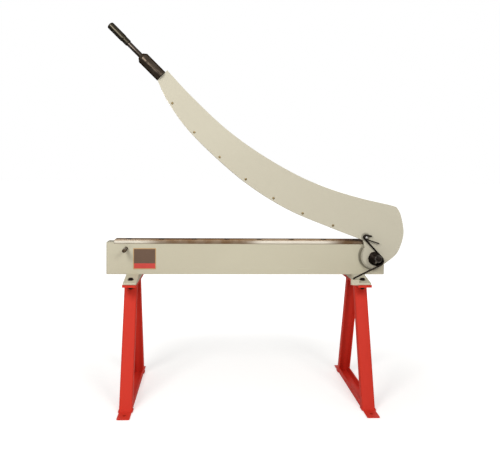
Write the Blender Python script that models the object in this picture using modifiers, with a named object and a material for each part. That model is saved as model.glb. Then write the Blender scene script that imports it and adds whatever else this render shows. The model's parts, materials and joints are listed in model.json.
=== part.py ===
"""Guillotine shear with a curved arm blade, standing on two trestles.

Every place is measured from the front bottom left corner of the bed: X runs right
along the bed, Y away from the front, Z up. One empty carries the whole shear and
puts the origin on the floor, below the middle of its length and of its stands.
"""

import math

import bmesh
import bpy
import numpy as np
from mathutils import Matrix, Vector

# Clearances and shared fineness
SEAT_GAP = 0.0003
OVERRUN = 0.004
MERGE = 0.00001
ROUND_STEPS = 24
HOLE_SIDES = 16
BEND_POINTS = 5
NUT_EDGE = 0.0005

# Bed casting
BED_LENGTH = 1.150
BED_DEPTH = 0.068
BED_HEIGHT = 0.133
BED_EDGE = 0.002
BAY_COUNT = 7
BAY_WALL = 0.016
BAY_ROOF = 0.028
BAY_RIB = 0.012
BAY_ROUND = 0.008

# Feet cast under the bed, and their bolts
FOOT_INSET = 0.108
FOOT_WIDTH = 0.053
FOOT_FRONT = 0.110
FOOT_REAR = 0.132
FOOT_DEPTH = 0.024
FOOT_TOE = 0.009
FOOT_ROOT = 0.002
FOOT_BOLT_FRONT = 0.070
FOOT_BOLT_REAR = 0.106
FOOT_BOLT_RADIUS = 0.006
FOOT_BOLT_HEAD_RADIUS = 0.009
FOOT_BOLT_HEAD = 0.012
FOOT_BOLT_SOCKET_FLATS = 0.010
FOOT_BOLT_SOCKET_DEPTH = 0.006
FOOT_BOLT_END = 0.003
FOOT_NUT_FLATS = 0.019
FOOT_NUT = 0.0105
FOOT_SPOT_RADIUS = 0.0125
FOOT_SPOT_DEPTH = 0.0143

# Lower blade in its seat along the top front edge
LOWER_BLADE_INSET = 0.032
LOWER_BLADE_LENGTH = 1.060
LOWER_BLADE_WIDTH = 0.066
LOWER_BLADE_THICK = 0.016
LOWER_BLADE_EDGE = 0.0012
BLADE_SEAT_DEPTH = 0.007
LOWER_BLADE_PROUD = 0.001
LOWER_SCREW_COUNT = 8
LOWER_SCREW_FIRST = 0.0567
LOWER_SCREW_LAST = 0.0576
LOWER_SCREW_BACK = 0.032
LOWER_SCREW_HEAD = 0.0107
LOWER_SCREW_RADIUS = 0.005
LOWER_SCREW_CONE = 0.0057
LOWER_SCREW_SINK = 0.003
LOWER_SCREW_LENGTH = 0.028
LOWER_SOCKET_RADIUS = 0.0035
LOWER_SOCKET_DEPTH = 0.004

# Arm: a flat plate in front of the upper blade, turning on the pivot
PIVOT_INSET = 0.0505
PIVOT_HEIGHT = 0.079
UPPER_BLADE_THICK = 0.010
UPPER_BLADE_WIDTH = 0.050
UPPER_BLADE_PROUD = 0.001
UPPER_BLADE_START = 0.036
UPPER_BLADE_STOP = 0.016
ARM_THICK = 0.012
ARM_REACH = 0.8925
ARM_RISE = 0.713
ARM_EYE_RADIUS = 0.0526
ARM_END_WIDTH = 0.0566
ARM_EDGE_STEPS = 6
ARM_EYE_STEPS = 26
ARM_EYE_FROM = 136.0
ARM_EYE_TO = 317.0

# Shares of the arm's reach left of the pivot and of its rise above it
ARM_LOWER_EDGE_SHARES = (
    (1.000, 1.000),
    (0.946, 0.868),
    (0.834, 0.687),
    (0.617, 0.442),
    (0.410, 0.276),
    (0.197, 0.164),
    (0.051, 0.095),
)
ARM_HEEL_SHARES = (
    (-0.043, -0.050),
    (-0.098, 0.004),
    (-0.1216, 0.052),
    (-0.138, 0.135),
    (-0.127, 0.226),
    (-0.109, 0.277),
    (-0.080, 0.296),
    (0.059, 0.335),
    (0.209, 0.390),
    (0.358, 0.467),
    (0.532, 0.590),
    (0.692, 0.7335),
    (0.850, 0.917),
)

# Screws that hold the upper blade, as shares of the blade's length
ARM_SCREW_SHARES = (0.071, 0.213, 0.352, 0.487, 0.620, 0.751, 0.882)
ARM_SCREW_HEAD = 0.005
ARM_SCREW_RADIUS = 0.003
ARM_SCREW_DOME = 0.002
ARM_SCREW_DOME_SHARES = ((0, 1), (0.7, 0.8), (1, 0.25))
ARM_SCREW_BACK = 0.0125

# Handle, along one axis that starts at the arm's end face
HANDLE_ANGLE = 135.4
HANDLE_INSET = 0.0225
SOCKET_RADIUS = 0.024
SOCKET_LENGTH = 0.104
SOCKET_NOSE = 0.012
SOCKET_NOSE_RADIUS = 0.014
TONGUE_WIDTH = 0.030
TONGUE_LENGTH = 0.042
ROD_RADIUS = 0.0105
ROD_DEPTH = 0.052
ROD_SHOWN = 0.069
GRIP_RADIUS = 0.0148
GRIP_COLLAR_RADIUS = 0.0134
GRIP_COLLAR = 0.030
GRIP_LENGTH = 0.107
GRIP_DEPTH = 0.095
GRIP_ROUND = 0.004
SET_SCREW_LOW = 0.018
SET_SCREW_HIGH = 0.078
SET_SCREW_RADIUS = 0.004
SET_SCREW_SOCKET = 0.002
SET_SCREW_SINK = 0.001

# Pivot
PIN_RADIUS = 0.012
PIN_STUD_RADIUS = 0.006
PIN_THREAD_RADIUS = 0.005
BUSH_RADIUS = 0.016
BUSH_FLANGE_RADIUS = 0.0195
BUSH_FLANGE = 0.003
BOSS_RADIUS = 0.045
THRUST_WASHER_RADIUS = 0.012
THRUST_WASHER = 0.0022
LOCK_NUT_FLATS = 0.019
LOCK_NUT = 0.008
FRONT_WASHER_RADIUS = 0.0155
FRONT_WASHER = 0.0025
FRONT_NUT_FLATS = 0.017
FRONT_NUT = 0.008
REAR_WASHER_RADIUS = 0.017
REAR_WASHER = 0.003
REAR_NUT = 0.0105
THREAD_SHOWN = 0.003

# Torsion spring round the pivot, and what its two ends hold on to
WIRE_RADIUS = 0.0035
SPRING_TURNS = 7
SPRING_POINTS = 12
SPRING_NEIGHBOUR_RADII = 8
SPRING_REAR_RADIUS = 0.0247
SPRING_FRONT_RADIUS = 0.019
SPRING_REAR = 0.0305
SPRING_PITCH = 0.0081
SPRING_SHIFT = 0.0022
SPRING_DROP = 0.0076
SPRING_SAG = 0.0012
HOOK_END = 78.0
HOOK_STEPS = 11
HORN_LENGTH = 0.0245
ANCHOR_SET_OFF = 0.041
ANCHOR_FORWARD = 0.095
ANCHOR_RADIUS = 0.01225
ANCHOR_STEPS = 10
ANCHOR_DROP = 0.003
ANCHOR_HOLE_DEPTH = 0.010
ANCHOR_BEND_RADIUS = 0.005
ANCHOR_BEND_RISE = 0.0048
POST_LEFT = 0.0355
POST_RISE = 0.0803
POST_RADIUS = 0.0045
POST_COLLAR_RADIUS = 0.008
POST_COLLAR = 0.002
POST_NECK = 0.0005
POST_TIP = 0.003
POST_SHANK_RADIUS = 0.004
KEEPER_WIRE = 0.0026
KEEPER_FROM = 40.0
KEEPER_TO = 251.5
KEEPER_TAIL = 0.060
KEEPER_STEPS = 12

# Stop pin at the free end of the bed
STOP_INSET = 0.081
STOP_HEIGHT = 0.106
STOP_RADIUS = 0.008
STOP_LENGTH = 0.070
STOP_DEPTH = 0.040

# Trestle stands
STAND_SET_OUT = 0.006
STAND_MIDDLE_Y = 0.064
STAND_WIDTH = 0.051
STAND_SHEET = 0.004
STAND_BEND = 0.006
STAND_BEND_STEPS = 3
TOP_PLATE_WIDTH = 0.056
TOP_PLATE_SET_OUT = 0.0015
TOP_PLATE_ROUND = 0.006
TOP_PLATE_LENGTH = 0.352
TOP_PLATE_THICK = 0.009
LEG_TOP_SPREAD = 0.164
LEG_FOOT_SPREAD = 0.477
LEG_DEPTH = 0.032
BAR_LENGTH = 0.613
BAR_DEPTH = 0.026
BAR_HOLE_INSET = 0.0345
BAR_HOLE_RADIUS = 0.007
STAND_HEIGHT = 0.505

# Places that follow from the sizes above
PIVOT_X = BED_LENGTH - PIVOT_INSET
SHEAR_FACE = -LOWER_BLADE_PROUD
UPPER_BLADE_REAR = SHEAR_FACE - SEAT_GAP
ARM_REAR = UPPER_BLADE_REAR - UPPER_BLADE_THICK - SEAT_GAP
ARM_FRONT = ARM_REAR - ARM_THICK
ARM_MIDDLE = ARM_REAR - ARM_THICK / 2
SEAT_FLOOR = BED_HEIGHT - BLADE_SEAT_DEPTH
LOWER_BLADE_TOP = SEAT_FLOOR + SEAT_GAP + LOWER_BLADE_THICK
LOWER_SCREW_SPAN = LOWER_BLADE_LENGTH - LOWER_SCREW_FIRST - LOWER_SCREW_LAST
LOWER_SCREW_PITCH = LOWER_SCREW_SPAN / (LOWER_SCREW_COUNT - 1)
FOOT_CENTRES = (FOOT_INSET, BED_LENGTH - FOOT_INSET)
STAND_CENTRES = (FOOT_CENTRES[0] - STAND_SET_OUT, FOOT_CENTRES[1] + STAND_SET_OUT)
FOOT_BOLT_PLACES_Y = (-FOOT_BOLT_FRONT, BED_DEPTH + FOOT_BOLT_REAR)
PLATE_TOP = -FOOT_DEPTH - SEAT_GAP
PLATE_BOTTOM = PLATE_TOP - TOP_PLATE_THICK
LEG_TOP = PLATE_BOTTOM - SEAT_GAP
BAR_TOP = -STAND_HEIGHT + STAND_SHEET
LEG_BOTTOM = BAR_TOP + SEAT_GAP
SPRING_CENTRE = Vector((PIVOT_X + SPRING_SHIFT, 0, PIVOT_HEIGHT - SPRING_DROP))
SPRING_FRONT_CENTRE = SPRING_CENTRE - Vector((0, 0, SPRING_SAG))
POST_CENTRE = Vector((PIVOT_X - POST_LEFT, 0, PIVOT_HEIGHT + POST_RISE))
ANCHOR_CENTRE = Vector((BED_LENGTH - FOOT_INSET - ANCHOR_SET_OFF, -ANCHOR_FORWARD, -ANCHOR_DROP))

# Ways to lay a flat outline: its own X and Y go to two axes of the shear
FACING_FRONT = (math.pi / 2, 0, 0)
FACING_SIDE = (math.pi / 2, 0, math.pi / 2)
FACING_UP = (0, 0, 0)
UP = Vector((0, 0, 1))
FORWARD = Vector((0, -1, 0))

for old in list(bpy.data.objects):
    bpy.data.objects.remove(old, do_unlink=True)

shear_parts = bpy.data.collections.new("guillotine_shear")
cutter_parts = bpy.data.collections.new("cutters")
bpy.context.scene.collection.children.link(shear_parts)
bpy.context.scene.collection.children.link(cutter_parts)


def finish_material(name, colour, roughness, metallic):
    """A plain Principled finish in the colour of the real surface."""
    made = bpy.data.materials.new(name)
    made.use_nodes = True
    shader = made.node_tree.nodes["Principled BSDF"]
    shader.inputs["Base Color"].default_value = (*colour, 1)
    shader.inputs["Roughness"].default_value = roughness
    shader.inputs["Metallic"].default_value = metallic
    return made


CREAM_ENAMEL = finish_material("cream_enamel", (0.66, 0.60, 0.47), 0.45, 0)
RED_ENAMEL = finish_material("red_enamel", (0.62, 0.045, 0.035), 0.4, 0)
GROUND_STEEL = finish_material("ground_steel", (0.62, 0.56, 0.47), 0.28, 1)
BLACK_OXIDE = finish_material("black_oxide", (0.022, 0.017, 0.014), 0.35, 0.7)
BRASS_SCREW = finish_material("brass_screw", (0.55, 0.36, 0.14), 0.35, 1)
BRONZE = finish_material("bronze", (0.42, 0.27, 0.12), 0.4, 1)


def linked(name, data, collection):
    """A new object that holds the data, in the collection."""
    made = bpy.data.objects.new(name, data)
    collection.objects.link(made)
    return made


def from_bmesh(name, shape):
    """A new object from an edited mesh, which is freed."""
    bmesh.ops.recalc_face_normals(shape, faces=shape.faces)
    mesh = bpy.data.meshes.new(name)
    shape.to_mesh(mesh)
    shape.free()
    return linked(name, mesh, shear_parts)


def as_mesh(curve_object):
    """The curve object's shape as a closed mesh under the same name."""
    bpy.context.view_layer.update()
    graph = bpy.context.evaluated_depsgraph_get()
    mesh = bpy.data.meshes.new_from_object(curve_object.evaluated_get(graph))
    shape = bmesh.new()
    shape.from_mesh(mesh)
    bmesh.ops.remove_doubles(shape, verts=shape.verts, dist=MERGE)
    bmesh.ops.recalc_face_normals(shape, faces=shape.faces)
    shape.to_mesh(mesh)
    shape.free()
    name = curve_object.name
    place = curve_object.matrix_world.copy()
    bpy.data.objects.remove(curve_object, do_unlink=True)
    mesh.name = name
    made = linked(name, mesh, shear_parts)
    made.matrix_world = place
    return made


def box(name, low, high):
    """A block between two opposite corners, with its origin at its middle."""
    low = Vector(low)
    high = Vector(high)
    shape = bmesh.new()
    bmesh.ops.create_cube(shape, size=1)
    bmesh.ops.scale(shape, vec=high - low, verts=shape.verts)
    made = from_bmesh(name, shape)
    made.location = (low + high) / 2
    return made


def plate(name, outlines, thickness, middle, rotation):
    """A flat plate: the first outline is its edge, and the others are holes in it."""
    curve = bpy.data.curves.new(name, "CURVE")
    curve.dimensions = "2D"
    curve.fill_mode = "BOTH"
    curve.extrude = thickness / 2
    for outline in outlines:
        spline = curve.splines.new("POLY")
        spline.points.add(len(outline) - 1)
        for point, (across, along) in zip(spline.points, outline):
            point.co = (across, along, 0, 1)
        spline.use_cyclic_u = True
    made = linked(name, curve, shear_parts)
    made.location = middle
    made.rotation_euler = rotation
    return as_mesh(made)


def turned(name, profile, centre, axis, steps=ROUND_STEPS, hollow=False):
    """A turned piece: its profile runs down the outer side, as radius and height."""
    mesh = bpy.data.meshes.new(name)
    points = [(radius, 0, height) for radius, height in profile]
    edges = [(index, index + 1) for index in range(len(points) - 1)]
    if hollow:
        edges.append((len(points) - 1, 0))
    mesh.from_pydata(points, edges, [])
    made = linked(name, mesh, shear_parts)
    made.location = centre
    made.rotation_mode = "QUATERNION"
    made.rotation_quaternion = UP.rotation_difference(Vector(axis))
    screw = made.modifiers.new("turn", "SCREW")
    screw.steps = steps
    screw.render_steps = steps
    screw.use_merge_vertices = True
    screw.merge_threshold = MERGE
    return made


def wire(name, path, radius, resolution=1):
    """A round wire along a path, closed at both ends."""
    curve = bpy.data.curves.new(name, "CURVE")
    curve.dimensions = "3D"
    curve.bevel_depth = radius
    curve.bevel_resolution = resolution
    curve.use_fill_caps = True
    spline = curve.splines.new("POLY")
    spline.points.add(len(path) - 1)
    for point, place in zip(spline.points, path):
        point.co = (*place, 1)
    return linked(name, curve, shear_parts)


def circle(radius, middle=(0, 0), sides=ROUND_STEPS):
    """The points of a round outline."""
    turns = [2 * math.pi * index / sides for index in range(sides)]
    return [(middle[0] + radius * math.cos(turn), middle[1] + radius * math.sin(turn)) for turn in turns]


def hexagon(flats):
    """A hexagon's corners, from the size across its flats."""
    return circle(flats / 2 / math.cos(math.pi / 6), sides=6)


def bevel(piece, width, segments=1):
    """Breaks the piece's edges."""
    made = piece.modifiers.new("edges", "BEVEL")
    made.width = width
    made.segments = segments
    made.limit_method = "ANGLE"
    return made


def as_cutter(piece):
    """Puts a helper shape with the cutters, out of sight."""
    if piece.name not in cutter_parts.objects:
        shear_parts.objects.unlink(piece)
        cutter_parts.objects.link(piece)
        piece.hide_render = True
        piece.display_type = "WIRE"
        piece.parent = shear_origin


def cut(piece, cutter):
    """Takes the cutter out of the piece."""
    as_cutter(cutter)
    made = piece.modifiers.new(cutter.name, "BOOLEAN")
    made.operation = "DIFFERENCE"
    made.solver = "EXACT"
    made.object = cutter


def join(piece, other):
    """Makes the other shape one with the piece."""
    as_cutter(other)
    made = piece.modifiers.new(other.name, "BOOLEAN")
    made.operation = "UNION"
    made.solver = "EXACT"
    made.object = other


def drills(name, places, radius, length, axis):
    """Round cutters, each centred on one place along the axis."""
    shape = bmesh.new()
    turn = UP.rotation_difference(Vector(axis)).to_matrix().to_4x4()
    for place in places:
        bmesh.ops.create_cone(
            shape,
            cap_ends=True,
            segments=HOLE_SIDES,
            radius1=radius,
            radius2=radius,
            depth=length,
            matrix=Matrix.Translation(place) @ turn,
        )
    return from_bmesh(name, shape)


def fit(piece, material, carrier):
    """Gives a finished piece its material and hangs it on what carries it."""
    piece.data.materials.append(material)
    piece.parent = carrier
    if carrier is arm_pivot:
        piece.location -= arm_pivot.location
    return piece


def smooth_through(points, steps):
    """A smooth line through the points, with a few steps between each pair of them."""
    known = [np.array(point, float) for point in points]
    ends = [2 * known[0] - known[1]] + known + [2 * known[-1] - known[-2]]
    line = []
    for before, start, stop, after in zip(ends, ends[1:], ends[2:], ends[3:]):
        for step in range(steps):
            share = step / steps
            pull = (stop - before) * share + (2 * before - 5 * start + 4 * stop - after) * share**2
            pull = pull + (3 * start - before - 3 * stop + after) * share**3
            line.append(start + pull / 2)
    line.append(known[-1])
    return line


def along(line, inset_start, inset_stop):
    """The part of a line between two distances from its ends, with its new ends on it."""
    points = np.array(line)
    reach = np.concatenate([[0], np.cumsum(np.linalg.norm(np.diff(points, axis=0), axis=1))])
    first = inset_start
    last = reach[-1] - inset_stop
    kept = [first] + [value for value in reach if first < value < last] + [last]
    return np.stack([np.interp(kept, reach, points[:, axis]) for axis in range(points.shape[1])], axis=1)


def at_share(line, share):
    """The point at a share of a line's length."""
    points = np.array(line)
    reach = np.concatenate([[0], np.cumsum(np.linalg.norm(np.diff(points, axis=0), axis=1))])
    return np.array([np.interp(share * reach[-1], reach, points[:, axis]) for axis in range(points.shape[1])])


def offset_line(line, distance):
    """The line moved sideways, to the left of its own direction."""
    points = np.array(line)
    heading = np.gradient(points, axis=0)
    heading /= np.linalg.norm(heading, axis=1)[:, None]
    return points + distance * np.stack([-heading[:, 1], heading[:, 0]], axis=1)


def rounded_corner(before, corner, after, radius):
    """Points on the arc that rounds one corner of a wire."""
    start = (before - corner).normalized()
    stop = (after - corner).normalized()
    half = start.angle(stop) / 2
    middle = corner + (start + stop).normalized() * (radius / math.sin(half))
    first = corner + start * (radius / math.tan(half)) - middle
    last = corner + stop * (radius / math.tan(half)) - middle
    sweep = first.angle(last)
    return [
        middle + (first * math.sin(sweep * (1 - share)) + last * math.sin(sweep * share)) / math.sin(sweep)
        for share in np.linspace(0, 1, BEND_POINTS)
    ]


def arm_point(shares):
    """A place on the arm's plate from its shares of the reach and the rise."""
    return (PIVOT_X - shares[0] * ARM_REACH, PIVOT_HEIGHT + shares[1] * ARM_RISE)


def arm_lower_edge():
    """The curved lower edge, from the handle's end to the corner beside the pivot."""
    return smooth_through([arm_point(shares) for shares in ARM_LOWER_EDGE_SHARES], ARM_EDGE_STEPS)


def handle_frame():
    """The handle's foot on the arm's end face, its axis, and the way across it."""
    turn = math.radians(HANDLE_ANGLE)
    axis = Vector((math.cos(turn), 0, math.sin(turn)))
    across = Vector((math.sin(turn), 0, -math.cos(turn)))
    corner = arm_point(ARM_LOWER_EDGE_SHARES[0])
    foot = Vector((corner[0], ARM_MIDDLE, corner[1])) + across * HANDLE_INSET
    return foot, axis, across


def flat(place):
    """A place's X and Z, for an outline that faces the front."""
    return (place.x, place.z)


def arm_outline():
    """The arm's edge: the lower edge, the eye, the heel, the back and the tongue."""
    foot, axis, across = handle_frame()
    corner = foot - across * HANDLE_INSET
    end_top = corner + across * ARM_END_WIDTH
    eye = [
        (
            PIVOT_X + ARM_EYE_RADIUS * math.cos(math.radians(turn)),
            PIVOT_HEIGHT + ARM_EYE_RADIUS * math.sin(math.radians(turn)),
        )
        for turn in np.linspace(ARM_EYE_FROM, ARM_EYE_TO, ARM_EYE_STEPS)
    ]
    heel = smooth_through([arm_point(shares) for shares in ARM_HEEL_SHARES] + [flat(end_top)], ARM_EDGE_STEPS)
    half = across * (TONGUE_WIDTH / 2)
    tongue = [foot + half, foot + half + axis * TONGUE_LENGTH, foot - half + axis * TONGUE_LENGTH, foot - half]
    outline = [tuple(point) for point in arm_lower_edge()] + eye
    outline += [tuple(point) for point in heel[1:]]
    outline += [flat(place) for place in tongue]
    return outline


def blade_line():
    """The upper blade's cutting edge, just proud of the arm's lower edge."""
    edge = offset_line(arm_lower_edge(), -UPPER_BLADE_PROUD)
    return along(edge, UPPER_BLADE_START, UPPER_BLADE_STOP)


def arm_screw_places():
    """Where the screws through the arm hold the upper blade."""
    middle = offset_line(blade_line(), ARM_SCREW_BACK)
    return [tuple(at_share(middle, share)) for share in ARM_SCREW_SHARES]


def span_x():
    """The shear's left and right ends: the bed's end and the arm's heel."""
    return 0, max(point[0] for point in arm_outline())


shear_origin = linked("shear_origin", None, shear_parts)
shear_origin.location = (-sum(span_x()) / 2, -STAND_MIDDLE_Y, STAND_HEIGHT)
arm_pivot = linked("arm_pivot", None, shear_parts)
arm_pivot.parent = shear_origin
arm_pivot.location = (PIVOT_X, 0, PIVOT_HEIGHT)


def foot_shape(name, centre_x):
    """One cast foot under the bed, sloping down to a thin toe in front and behind."""
    bottom = -FOOT_DEPTH
    toe = bottom + FOOT_TOE
    outline = [
        (-FOOT_FRONT, bottom),
        (BED_DEPTH + FOOT_REAR, bottom),
        (BED_DEPTH + FOOT_REAR, toe),
        (BED_DEPTH, FOOT_ROOT),
        (BED_DEPTH - BAY_WALL / 2, BAY_WALL / 2),
        (BAY_WALL / 2, BAY_WALL / 2),
        (0, FOOT_ROOT),
        (-FOOT_FRONT, toe),
    ]
    made = plate(name, [outline], FOOT_WIDTH, (centre_x, 0, 0), FACING_SIDE)
    bevel(made, BED_EDGE)
    return made


def anchor_shape():
    """The small lug beside the right foot that takes the spring's lower end."""
    x, y = ANCHOR_CENTRE.x, ANCHOR_CENTRE.y
    right = BED_LENGTH - FOOT_INSET - FOOT_WIDTH / 2 + OVERRUN
    half_turn = np.linspace(math.pi / 2, 3 * math.pi / 2, ANCHOR_STEPS + 1)
    outline = [(x + ANCHOR_RADIUS * math.cos(turn), y + ANCHOR_RADIUS * math.sin(turn)) for turn in half_turn]
    outline += [(right, y - ANCHOR_RADIUS), (right, y + ANCHOR_RADIUS)]
    height = FOOT_DEPTH - ANCHOR_DROP
    return plate("anchor_lug", [outline], height, (0, 0, -ANCHOR_DROP - height / 2), FACING_UP)


def bay_shapes():
    """Pockets from the rear between the ribs, with rounded corners."""
    first = FOOT_INSET + FOOT_WIDTH / 2 + BAY_RIB
    width = (BED_LENGTH - 2 * first - (BAY_COUNT - 1) * BAY_RIB) / BAY_COUNT
    lefts = [first + index * (width + BAY_RIB) for index in range(BAY_COUNT)]
    spans = [(BAY_WALL, FOOT_INSET - FOOT_WIDTH / 2 - BAY_RIB)]
    spans += [(left, left + width) for left in lefts]
    for number, (left, right) in enumerate(spans):
        low = (left, BAY_WALL, BAY_WALL)
        high = (right, BED_DEPTH + BAY_ROUND + OVERRUN, BED_HEIGHT - BAY_ROOF)
        made = box(f"bay_{number}", low, high)
        bevel(made, BAY_ROUND, 2)
        yield made


def lower_screw_profile(gap):
    """A countersunk screw's cone and shank, or its hole's where the gap widens them."""
    head = LOWER_SCREW_HEAD + gap
    shank = LOWER_SCREW_RADIUS + gap
    neck = -LOWER_SCREW_SINK - LOWER_SCREW_CONE
    bottom = -LOWER_SCREW_LENGTH - gap
    return [(head, -LOWER_SCREW_SINK), (shank, neck), (shank, bottom), (0, bottom)]


def lower_screw_x():
    """Where the lower blade's screws stand along the bed."""
    first = LOWER_BLADE_INSET + LOWER_SCREW_FIRST
    return [first + index * LOWER_SCREW_PITCH for index in range(LOWER_SCREW_COUNT)]


def lower_screw_holes():
    """One cutter for all the lower screws' holes, through blade and bed."""
    profile = [(0, OVERRUN), (LOWER_SCREW_HEAD + SEAT_GAP, OVERRUN)] + lower_screw_profile(SEAT_GAP)
    centre = (lower_screw_x()[0], LOWER_SCREW_BACK, LOWER_BLADE_TOP)
    made = turned("lower_screw_holes", profile, centre, UP, HOLE_SIDES)
    row = made.modifiers.new("row", "ARRAY")
    row.count = LOWER_SCREW_COUNT
    row.use_relative_offset = False
    row.use_constant_offset = True
    row.constant_offset_displace = (LOWER_SCREW_PITCH, 0, 0)
    return made


def bed_casting(screw_holes):
    """The bed with its feet, pivot boss and spring lug in one casting."""
    bed = box("base_casting", (0, 0, 0), (BED_LENGTH, BED_DEPTH, BED_HEIGHT))
    bevel(bed, BED_EDGE)
    for number, centre_x in enumerate(FOOT_CENTRES):
        join(bed, foot_shape(f"foot_{number}", centre_x))
    join(bed, anchor_shape())
    boss_face = ARM_REAR + SEAT_GAP
    boss = [(0, -boss_face), (BOSS_RADIUS, -boss_face), (BOSS_RADIUS, -BAY_WALL), (0, -BAY_WALL)]
    join(bed, turned("pivot_boss", boss, (PIVOT_X, 0, PIVOT_HEIGHT), FORWARD))
    seat_left = LOWER_BLADE_INSET - SEAT_GAP
    seat_low = (seat_left, -OVERRUN, SEAT_FLOOR)
    seat_high = (BED_LENGTH + OVERRUN, BED_DEPTH + OVERRUN, BED_HEIGHT + OVERRUN)
    cut(bed, box("blade_seat", seat_low, seat_high))
    for bay in bay_shapes():
        cut(bed, bay)
    cut(bed, screw_holes)
    pin_places = [(PIVOT_X, BED_DEPTH / 2, PIVOT_HEIGHT)]
    cut(bed, drills("pivot_hole", pin_places, PIN_RADIUS + SEAT_GAP, 4 * BED_DEPTH, FORWARD))
    stop_places = [(STOP_INSET, 0, STOP_HEIGHT)]
    stop_depth = 2 * (STOP_DEPTH + SEAT_GAP)
    cut(bed, drills("stop_hole", stop_places, STOP_RADIUS + SEAT_GAP, stop_depth, FORWARD))
    bolt_places = [(x, y, -FOOT_DEPTH) for x in FOOT_CENTRES for y in FOOT_BOLT_PLACES_Y]
    cut(bed, drills("foot_bolt_holes", bolt_places, FOOT_BOLT_RADIUS + SEAT_GAP, 4 * FOOT_DEPTH, UP))
    spot_places = [(x, y, FOOT_DEPTH - FOOT_SPOT_DEPTH) for x in FOOT_CENTRES for y in FOOT_BOLT_PLACES_Y]
    cut(bed, drills("foot_spots", spot_places, FOOT_SPOT_RADIUS, 2 * FOOT_DEPTH, UP))
    hole_radius = WIRE_RADIUS + SEAT_GAP
    cut(bed, drills("anchor_hole", [ANCHOR_CENTRE], hole_radius, 2 * ANCHOR_HOLE_DEPTH, UP))
    fit(bed, CREAM_ENAMEL, shear_origin)


def lower_blade(screw_holes):
    """The flat lower blade, let into the bed's top front edge."""
    low = (LOWER_BLADE_INSET, SHEAR_FACE, SEAT_FLOOR + SEAT_GAP)
    high = (LOWER_BLADE_INSET + LOWER_BLADE_LENGTH, SHEAR_FACE + LOWER_BLADE_WIDTH, LOWER_BLADE_TOP)
    blade = box("lower_blade", low, high)
    bevel(blade, LOWER_BLADE_EDGE)
    cut(blade, screw_holes)
    fit(blade, GROUND_STEEL, shear_origin)


def lower_screws():
    """Countersunk socket screws that hold the lower blade down."""
    floor = -LOWER_SCREW_SINK - LOWER_SOCKET_DEPTH
    socket = [(0, floor), (LOWER_SOCKET_RADIUS, floor), (LOWER_SOCKET_RADIUS, -LOWER_SCREW_SINK)]
    profile = socket + lower_screw_profile(0)
    for number, x in enumerate(lower_screw_x(), 1):
        centre = (x, LOWER_SCREW_BACK, LOWER_BLADE_TOP)
        screw = turned(f"lower_blade_screw_{number}", profile, centre, UP, HOLE_SIDES)
        fit(screw, BLACK_OXIDE, shear_origin)


def arm_plate():
    """The arm's flat plate, with its holes for bush, screws and spring post."""
    holes = [circle(BUSH_RADIUS + SEAT_GAP, (PIVOT_X, PIVOT_HEIGHT))]
    holes.append(circle(POST_SHANK_RADIUS + SEAT_GAP, flat(POST_CENTRE), HOLE_SIDES))
    for place in arm_screw_places():
        holes.append(circle(ARM_SCREW_RADIUS + SEAT_GAP, place, HOLE_SIDES))
    middle = (0, ARM_MIDDLE, 0)
    arm = plate("arm_plate", [arm_outline()] + holes, ARM_THICK, middle, FACING_FRONT)
    fit(arm, CREAM_ENAMEL, arm_pivot)


def upper_blade():
    """The curved blade behind the arm, following its lower edge."""
    edge = blade_line()
    back = offset_line(edge, UPPER_BLADE_WIDTH)
    outline = [tuple(point) for point in edge] + [tuple(point) for point in back[::-1]]
    holes = [circle(ARM_SCREW_RADIUS + SEAT_GAP, place, HOLE_SIDES) for place in arm_screw_places()]
    middle = (0, UPPER_BLADE_REAR - UPPER_BLADE_THICK / 2, 0)
    blade = plate("upper_blade", [outline] + holes, UPPER_BLADE_THICK, middle, FACING_FRONT)
    fit(blade, GROUND_STEEL, arm_pivot)


def arm_screws():
    """Round headed screws through the arm into the upper blade."""
    head_base = -ARM_FRONT + SEAT_GAP
    tip = -UPPER_BLADE_REAR + SEAT_GAP
    profile = [(ARM_SCREW_HEAD * out, head_base + ARM_SCREW_DOME * up) for out, up in ARM_SCREW_DOME_SHARES]
    profile += [
        (ARM_SCREW_HEAD, head_base),
        (ARM_SCREW_RADIUS, head_base),
        (ARM_SCREW_RADIUS, tip),
        (0, tip),
    ]
    for number, (x, z) in enumerate(arm_screw_places(), 1):
        screw = turned(f"upper_blade_screw_{number}", profile, (x, 0, z), FORWARD, HOLE_SIDES)
        fit(screw, BRASS_SCREW, arm_pivot)


def set_screw_holes(foot, axis):
    """Radial holes in the socket's front for its two set screws."""
    places = [foot + axis * distance + FORWARD * SOCKET_RADIUS for distance in (SET_SCREW_LOW, SET_SCREW_HIGH)]
    return drills("set_screw_holes", places, SET_SCREW_RADIUS + SEAT_GAP, 2 * SOCKET_RADIUS, FORWARD)


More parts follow.
